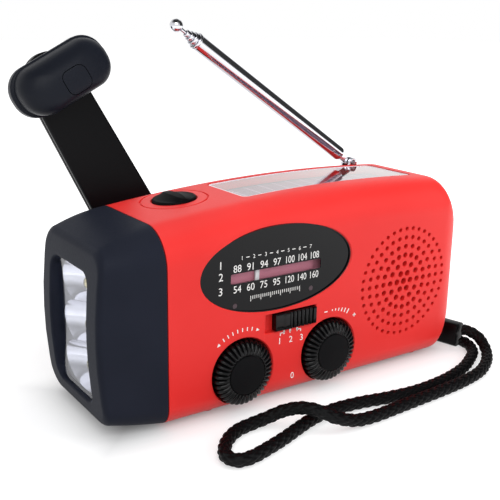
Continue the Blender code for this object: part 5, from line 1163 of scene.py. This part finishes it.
def makeArm(place):
    # the strip's outline stacked through its thickness: rounded edges, and a groove along the middle of them
    a = arm
    bend = quarterTurn(7)
    inset = np.concatenate([a["edge"] * (1 - np.sin(bend)), [0, a["groove"], a["groove"], 0],
                            a["edge"] * (1 - np.cos(bend))])
    wide, floor = a["grooveHalf"], a["grooveHalf"] - a["grooveSlant"]
    height = np.concatenate([-a["thick"] + a["edge"] * (1 - np.cos(bend)), [-wide, -floor, floor, wide],
                             a["thick"] - a["edge"] * (1 - np.sin(bend))])
    grid = alongAxis([armLoop(t) for t in inset], height, (0, 1, 2))
    plate = addPiece("arm", placed(gridMesh(grid), place))
    deep, side = a["through"], a["throughSide"]
    lugSlot = boxMesh(-a["slotHalf"], a["slotHalf"], -a["heel"] - 2 * cutPast, a["slotTo"], -deep, deep)
    pinHole = prismX(ellipseLoop(a["pinHole"], a["pinHole"], 24), -side, side)
    gripHole = prismZ(ellipseLoop(a["gripHole"], a["gripHole"], 32) + (0, a["length"]), -deep, deep)
    carve(plate, ("DIFFERENCE", placed(lugSlot, place)),
          ("DIFFERENCE", placed(joinMeshes(pinHole, gripHole), place)))
    dress(plate, blackSatin, "arm", "black_abs", "crank_arm")


def makeGrip(place):
    # a rim with rounded edges, then a dome that is a superellipse from the step up to its crown and leans
    # to one side
    g = grip
    low, rim, rise = arm["thick"] + g["gap"], g["rim"], g["depth"] - g["rim"]
    top, power = low + g["depth"], 2 / g["fullness"]
    stepped = 1 - g["step"] / g["halfY"]
    dome = np.radians(np.concatenate([np.linspace(0.02, 3, 8), np.linspace(6, 89.8, 40)]))
    sizes = np.concatenate([g["rimSizes"], [stepped - 0.002], stepped * np.cos(dome) ** power])
    rises = np.concatenate([g["rimRises"], rim - np.array(g["rimRises"])[::-1], [rim + 0.1],
                            rim + rise * np.maximum(np.sin(dome) ** power, 0.02)])
    lean = -g["lean"] * np.clip((rises - rim) / rise, 0, 1) ** g["leanEase"]
    loops = [gripLoop(size) + (0, shift) for size, shift in zip(sizes, lean)]
    body = placed(gridMesh(alongAxis(loops, low + rises, (0, 1, 2))), place)
    handle = addPiece("grip", body)
    seat = prismZ(plugLoop(plug["seam"]), top - plug["depth"] - g["gap"], top + cutPast)
    bore = prismZ(ellipseLoop(g["bore"], g["bore"], 32), low - 2 * cutPast, g["boreTo"])
    carve(handle, ("DIFFERENCE", placed(bore, place)), ("DIFFERENCE", placed(seat, place)))
    dress(handle, blackAbs, "grip", "black_abs", "crank_grip", sharp=50)
    stopper = addPiece("plug", placed(prismZ(plugLoop(0), top - plug["depth"], top + cutPast), place))
    carve(stopper, ("INTERSECT", body))
    dress(stopper, blackAbs, "grip", "black_abs", "grip_plug", sharp=50)


atPin = armPlace()
atTip = atPin @ Matrix.Translation((0, arm["length"], 0))
makeArm(atPin)
makeGrip(atTip @ Matrix.Rotation(math.radians(grip["turn"]), 4, "Z"))
print("crank made")


# Aerial: the outer tube runs down to a flattened hinge end, and each section ends in a rolled collar

mast = {"pivotZ": 59.5014, "start": 5.0, "end": 74.0, "radii": (2.5, 2.0, 1.5, 1.05), "step": 1.3,
        "wall": 0.35, "footRound": 1.2, "collar": 0.16, "collarLength": 0.9, "collarSink": 0.02,
        "collarLift": 0.05, "collarWall": 0.8, "plug": 11.0, "tongue": 1.1, "tongueHalf": 1.6,
        "tongueRoot": 0.8, "pinHole": 0.8, "rivets": (6.8, 9.6), "rivet": 0.5, "rivetDome": 0.25,
        "rivetRoot": 0.4, "rivetSink": 0.06, "rivetTurn": 66.0}


def rolledEnd(radius, end):
    # half a turn of ellipse: the tube's end rolled outwards
    swell = np.radians(np.linspace(0, 180, 9))
    return np.column_stack([radius + mast["collar"] * np.sin(swell),
                            end - mast["collarLength"] * (0.5 + 0.5 * np.cos(swell))])


def makeOuterTube(hinge, lie):
    m, radius, bend = mast, mast["radii"][0], quarterTurn(7)
    bore, start, end = radius - m["wall"], m["start"], m["end"]
    rounded = np.column_stack([radius - m["footRound"] + m["footRound"] * np.sin(bend),
                               start + m["footRound"] * (1 - np.cos(bend))])
    profile = np.concatenate([[(0, start)], rounded, rolledEnd(radius, end),
                              [(bore, end), (bore, m["plug"]), (0, m["plug"])]])
    tube = addPiece("aerial_outer", placed(turnedMesh(profile, 48), lie))
    turn = np.radians(np.linspace(90, 270, 17))
    root, half = start + m["tongueRoot"], m["tongueHalf"]
    tongue = np.concatenate([half * np.column_stack([np.cos(turn), np.sin(turn)]),
                             [(root, -half), (root, half)]])
    carve(tube, ("UNION", placed(prismY(tongue, -m["tongue"], m["tongue"]), hinge)),
          ("DIFFERENCE", placed(rodY(0, 0, m["pinHole"], -3 * cutPast, 3 * cutPast, 24), hinge)))
    dress(tube, chromePlate, "aerial_section_1", "chrome_plate", "aerial_tube_1")


def makeRivets(hinge):
    m, bend = mast, quarterTurn(7)
    domed = np.concatenate([[(0, -m["rivetRoot"]), (m["rivet"], -m["rivetRoot"])],
                            np.column_stack([m["rivet"] * np.cos(bend), m["rivetDome"] * np.sin(bend)])])
    outward = (Matrix.Rotation(math.radians(m["rivetTurn"]), 4, "X")
               @ Matrix.Translation((0, 0, m["radii"][0] - m["rivetSink"])))
    heads = [placed(turnedMesh(domed, 20), hinge @ Matrix.Translation((along, 0, 0)) @ outward)
             for along in m["rivets"]]
    rivets = addPiece("aerial_rivets", joinMeshes(*heads))
    dress(rivets, plainSteel, "aerial_section_1", "chrome_plate")


def makeCollars(lie):
    m = mast
    for i, radius in enumerate(m["radii"][1:], 2):
        end = m["end"] + m["step"] * (i - 1) + m["collarLift"]
        inner = radius - m["wall"] * m["collarWall"]
        ring = np.concatenate([rolledEnd(radius - m["collarSink"], end),
                               [(inner, end), (inner, end - m["collarLength"])]])
        collar = addPiece(f"aerial_collar_{i}", placed(turnedMesh(ring, 40, wrapRows=True), lie))
        dress(collar, chromePlate, f"aerial_section_{i}", "chrome_plate")


hingePlace = (Matrix.Translation((aerial["x"], aerial["y"], mast["pivotZ"]))
              @ Matrix.Rotation(math.radians(180 + aerialTilt), 4, "Y"))
tubePlace = hingePlace @ Matrix.Rotation(math.radians(90), 4, "Y")
makeOuterTube(hingePlace, tubePlace)
makeRivets(hingePlace)
makeCollars(tubePlace)
print("aerial made")


# Torch switch: a disc whose finger bar falls away in concave flanks

switchCap = {"rim": 0.6, "edge": 0.45, "stemGap": 0.4, "stemLength": 6.0, "rings": 44, "sides": 120,
             "faceFrom": 0.5, "faceTo": 0.02, "bar": 1.1, "barLength": 0.97, "barFoot": 0.8, "barHalf": 1.3,
             "barEnd": 0.35, "flank": 1.6}


def makeTorchSwitch():
    c, radius, rings = switchCap, topSwitch["radius"], switchCap["rings"]
    bend = quarterTurn(7)
    under, stem = housing["gap"] - topSwitch["wellDepth"], topSwitch["stem"] - c["stemGap"]
    low = [(0, -c["stemLength"]), (stem, -c["stemLength"]), (stem, under), (radius, under)]
    edge = np.column_stack([radius - c["edge"] + c["edge"] * np.cos(bend),
                            c["rim"] - c["edge"] + c["edge"] * np.sin(bend)])
    flat = np.column_stack([np.linspace(radius - c["faceFrom"], c["faceTo"], rings),
                            np.full(rings, c["rim"])])
    grid = turnedGrid(np.concatenate([low, edge, flat]), c["sides"])
    x, y = grid[-rings:, :, 0], grid[-rings:, :, 1]
    along = np.clip(1 - (y / (c["barLength"] * radius)) ** 2, 0, None)
    spread, half = c["barFoot"] * radius * along ** 0.5, c["barHalf"] * along ** 0.5
    climb = np.clip((spread - np.abs(x)) / np.maximum(spread - half, 1e-6), 0, 1)
    grid[-rings:, :, 2] += c["bar"] * along ** c["barEnd"] * climb ** c["flank"]
    disc = addPiece("torch_turn", placed(gridMesh(grid), switchFrame))
    dress(disc, blackMatt, "torch_control", "black_abs", "torch_knob", sharp=55)


makeTorchSwitch()


# Band slide: a cap with rounded ridges over a ribbed slot floor

slide = {"left": -11.6, "right": 3.0, "proud": 1.0, "endRound": 0.35, "endFrom": 0.5, "points": 150,
         "ridges": 6, "ridgeStart": 0.33, "ridgeEnd": 1.3, "ridgeDepth": 0.75, "ridgeRound": 0.8,
         "stepX": 3.0, "stepDepth": 0.25, "stepWidth": 0.12, "edges": (0.25, 0.08, 0.0), "stemHalf": 1.8,
         "stemHalfZ": 1.0, "stemRoot": 0.5, "stemTo": 7.2, "ribPitch": 0.52, "rib": 0.28, "ribHigh": 0.22,
         "ribRoot": 0.05, "ribFrom": 0.35, "ribTo": -11.9, "ribMargin": 0.4}


def makeSlide():
    # the top line runs along x with a quarter round at each end, waves for the ridges and a soft step beside
    # them; it is stacked up through z with rounded edges
    s, left, right = slide, slide["left"], slide["right"]
    floor = housing["front"] + slot["depth"] - housing["gap"]
    bend = quarterTurn(6)
    rise, fall = s["endRound"] * (1 - np.sin(bend)), s["endRound"] * (1 - np.cos(bend))
    x = np.concatenate([left + fall, np.linspace(left + s["endFrom"], right - s["endFrom"], s["points"]),
                        right - rise])
    into = np.concatenate([rise, np.zeros(s["points"]), fall])
    ridgeFrom, ridgeTo = left + s["ridgeStart"] * (right - left), right - s["ridgeEnd"]
    phase = (x - ridgeFrom) / (ridgeTo - ridgeFrom)
    waves = 1 - np.abs(np.sin(math.pi * s["ridges"] * phase)) ** s["ridgeRound"]
    waves *= s["ridgeDepth"] * ((phase > 0) & (phase < 1))
    step = s["stepDepth"] / (1 + np.exp((x - left - s["stepX"]) / s["stepWidth"]))
    y = housing["front"] - s["proud"] + into + waves + step
    half = (slot["high"] - slot["low"]) / 2 - housing["gap"]
    edges = np.array(s["edges"])
    heights = slotMiddle + np.concatenate([edges[::-1] - half, half - edges])
    loops = [np.concatenate([np.column_stack([np.clip(x, left + e, right - e), y + e]),
                             [[right - e, floor], [left + e, floor]]]) for e in (*edges, *edges[::-1])]
    stem = boxMesh(slot["stemX"] - s["stemHalf"], slot["stemX"] + s["stemHalf"], floor - s["stemRoot"],
                   housing["front"] + s["stemTo"], slotMiddle - s["stemHalfZ"], slotMiddle + s["stemHalfZ"])
    cap = addPiece("band_cap", gridMesh(alongAxis(loops, heights, (0, 1, 2))))
    carve(cap, ("UNION", stem))
    dress(cap, blackGloss, "band", "black_abs", "band_slider", sharp=50)


def makeSlotRibs():
    s, deep = slide, housing["front"] + slot["depth"]
    ribs = [boxMesh(x, x + s["rib"], deep - s["ribHigh"], deep + s["ribRoot"], slot["low"] + s["ribMargin"],
                    slot["high"] - s["ribMargin"])
            for x in np.arange(slot["left"] + s["ribFrom"], s["ribTo"], s["ribPitch"])]
    floorRibs = addPiece("slot_ribs", joinMeshes(*ribs))
    dress(floorRibs, redAbs, "housing", "red_abs")


makeSlide()
makeSlotRibs()
print("switches made")


# Floor and light

# footprint and the two shadow entries set the painted shadow that the floor's glow leaves round the housing
studio = {"floorZ": -1.02, "floorHalf": 3000.0, "floorColour": "#c8c8c9", "glowFrom": 75.0, "glowTo": 220.0,
          "nearGlow": 0.56, "farGlow": 1.0, "footprint": (62.0, 20.0, 0.0), "paintedShadowReach": 12.0,
          "paintedShadowGlow": 0.1, "worldLight": 0.4, "ceilingFrom": 0.45, "ceilingTo": 0.85, "darkGlow": 0.05,
          "flagHeading": (0.917, -0.255, 0.306), "flagFrom": 0.72, "flagTo": 0.8, "lampAim": (0, 0, 30)}
lamps = (
    {"name": "key", "place": (-260, -420, 430), "size": 420, "watts": 1.5, "inMirrors": True},
    {"name": "fill", "place": (420, -360, 260), "size": 480, "watts": 2.25, "inMirrors": False},
    {"name": "top", "place": (30, 60, 620), "size": 520, "watts": 1.5, "inMirrors": False},
)


def straightRays(tree):
    # 1 for what the camera sees straight or through glass
    path = addNode(tree, "LightPath").outputs
    straight, through = path["Is Camera Ray"], path["Is Transmission Ray"]
    return addNode(tree, "Math", {0: straight, 1: through}, operation="MAXIMUM").outputs["Value"]


def seenRays(tree):
    # 1 for what the camera sees straight, through glass or in a mirror, 0 for the light that falls on things
    glossy = addNode(tree, "LightPath").outputs["Is Glossy Ray"]
    return addNode(tree, "Math", {0: straightRays(tree), 1: glossy}, operation="MAXIMUM").outputs["Value"]


def whitePaper():
    # the paper glows away to white with distance, so that it meets the background without a line, and glows
    # least under the housing and close to its sides, a painted shadow that deepens the real one there
    s = studio
    paper, tree, shader = newFinish("white paper sweep", Base_Color=hexColour(s["floorColour"]),
                                    Roughness=0.9, Specular_IOR_Level=0.0, Emission_Color=(1, 1, 1, 1))
    place = addNode(tree, "TexCoord").outputs["Object"]
    away = addNode(tree, "VectorMath", {0: place}, operation="LENGTH").outputs["Value"]
    fade = addNode(tree, "MapRange", {"Value": away, "From Min": s["glowFrom"] * mm,
                                      "From Max": s["glowTo"] * mm, "To Min": s["nearGlow"],
                                      "To Max": s["farGlow"]}).outputs["Result"]
    # painted shadow: whatever the light, the glow drops towards the housing's footprint and is least inside
    # it
    across = addNode(tree, "VectorMath", {0: place}, operation="ABSOLUTE").outputs["Vector"]
    outside = addNode(tree, "VectorMath", {0: across, 1: Vector(s["footprint"]) * mm}, operation="SUBTRACT")
    sides = addNode(tree, "SeparateXYZ", {"Vector": outside.outputs["Vector"]}).outputs
    beside = addNode(tree, "Math", {0: sides["X"], 1: sides["Y"]}, operation="MAXIMUM").outputs["Value"]
    clear = addNode(tree, "MapRange", {"Value": beside, "From Min": -s["paintedShadowReach"] * mm,
                                       "From Max": s["paintedShadowReach"] * mm, "To Min": s["paintedShadowGlow"]},
                    interpolation_type="SMOOTHSTEP").outputs["Result"]
    level = addNode(tree, "Math", {0: fade, 1: clear}, operation="MULTIPLY").outputs["Value"]
    glow = addNode(tree, "Math", {0: seenRays(tree), 1: level}, operation="MULTIPLY").outputs["Value"]
    tree.links.new(glow, shader.inputs["Emission Strength"])
    return paper


def makeFloor():
    half, z = studio["floorHalf"], studio["floorZ"]
    corners = np.array([[-half, -half, z], [half, -half, z], [half, half, z], [-half, half, z]])
    floor = addPiece("floor", (corners, [[0, 1, 2, 3]]))
    floor.data.materials.append(whitePaper())


def makeWorld():
    # a white background, and mirrors show the white walls of the studio, which darken towards its ceiling
    # and a black flag on the right
    s = studio
    world = bpy.data.worlds.new("white studio")
    bpy.context.scene.world = world
    world.use_nodes = True
    tree = world.node_tree
    background = tree.nodes["Background"]
    background.inputs["Color"].default_value = (1, 1, 1, 1)
    heading = addNode(tree, "TexCoord").outputs["Generated"]
    up = addNode(tree, "SeparateXYZ", {"Vector": heading}).outputs["Z"]
    ceiling = addNode(tree, "MapRange", {"Value": up, "From Min": s["ceilingFrom"],
                                         "From Max": s["ceilingTo"], "To Min": 1.0,
                                         "To Max": s["darkGlow"]}).outputs["Result"]
    aside = addNode(tree, "VectorMath", {0: heading, 1: s["flagHeading"]}, operation="DOT_PRODUCT")
    flag = addNode(tree, "MapRange", {"Value": aside.outputs["Value"], "From Min": s["flagFrom"],
                                      "From Max": s["flagTo"], "To Min": 1.0,
                                      "To Max": s["darkGlow"]}).outputs["Result"]
    walls = addNode(tree, "Math", {0: ceiling, 1: flag}, operation="MINIMUM").outputs["Value"]
    shown = addNode(tree, "Math", {0: straightRays(tree), 1: walls}, operation="MAXIMUM").outputs["Value"]
    level = addNode(tree, "MapRange", {"Value": seenRays(tree), "To Min": s["worldLight"], "To Max": shown})
    tree.links.new(level.outputs["Result"], background.inputs["Strength"])


def makeLamps():
    # the key lamp alone shows in mirrors, because the others would hide the flag
    for lamp in lamps:
        data = bpy.data.lights.new(lamp["name"], "AREA")
        data.energy = lamp["watts"]
        data.size = lamp["size"] * mm
        light = bpy.data.objects.new(lamp["name"], data)
        light.location = Vector(lamp["place"]) * mm
        light.visible_glossy = lamp["inMirrors"]
        aim = Vector(studio["lampAim"]) - Vector(lamp["place"])
        light.rotation_euler = aim.to_track_quat("-Z", "Y").to_euler()
        bpy.context.scene.collection.objects.link(light)


bpy.context.scene.view_settings.view_transform = "Standard"
makeFloor()
makeWorld()
makeLamps()
print("studio made")
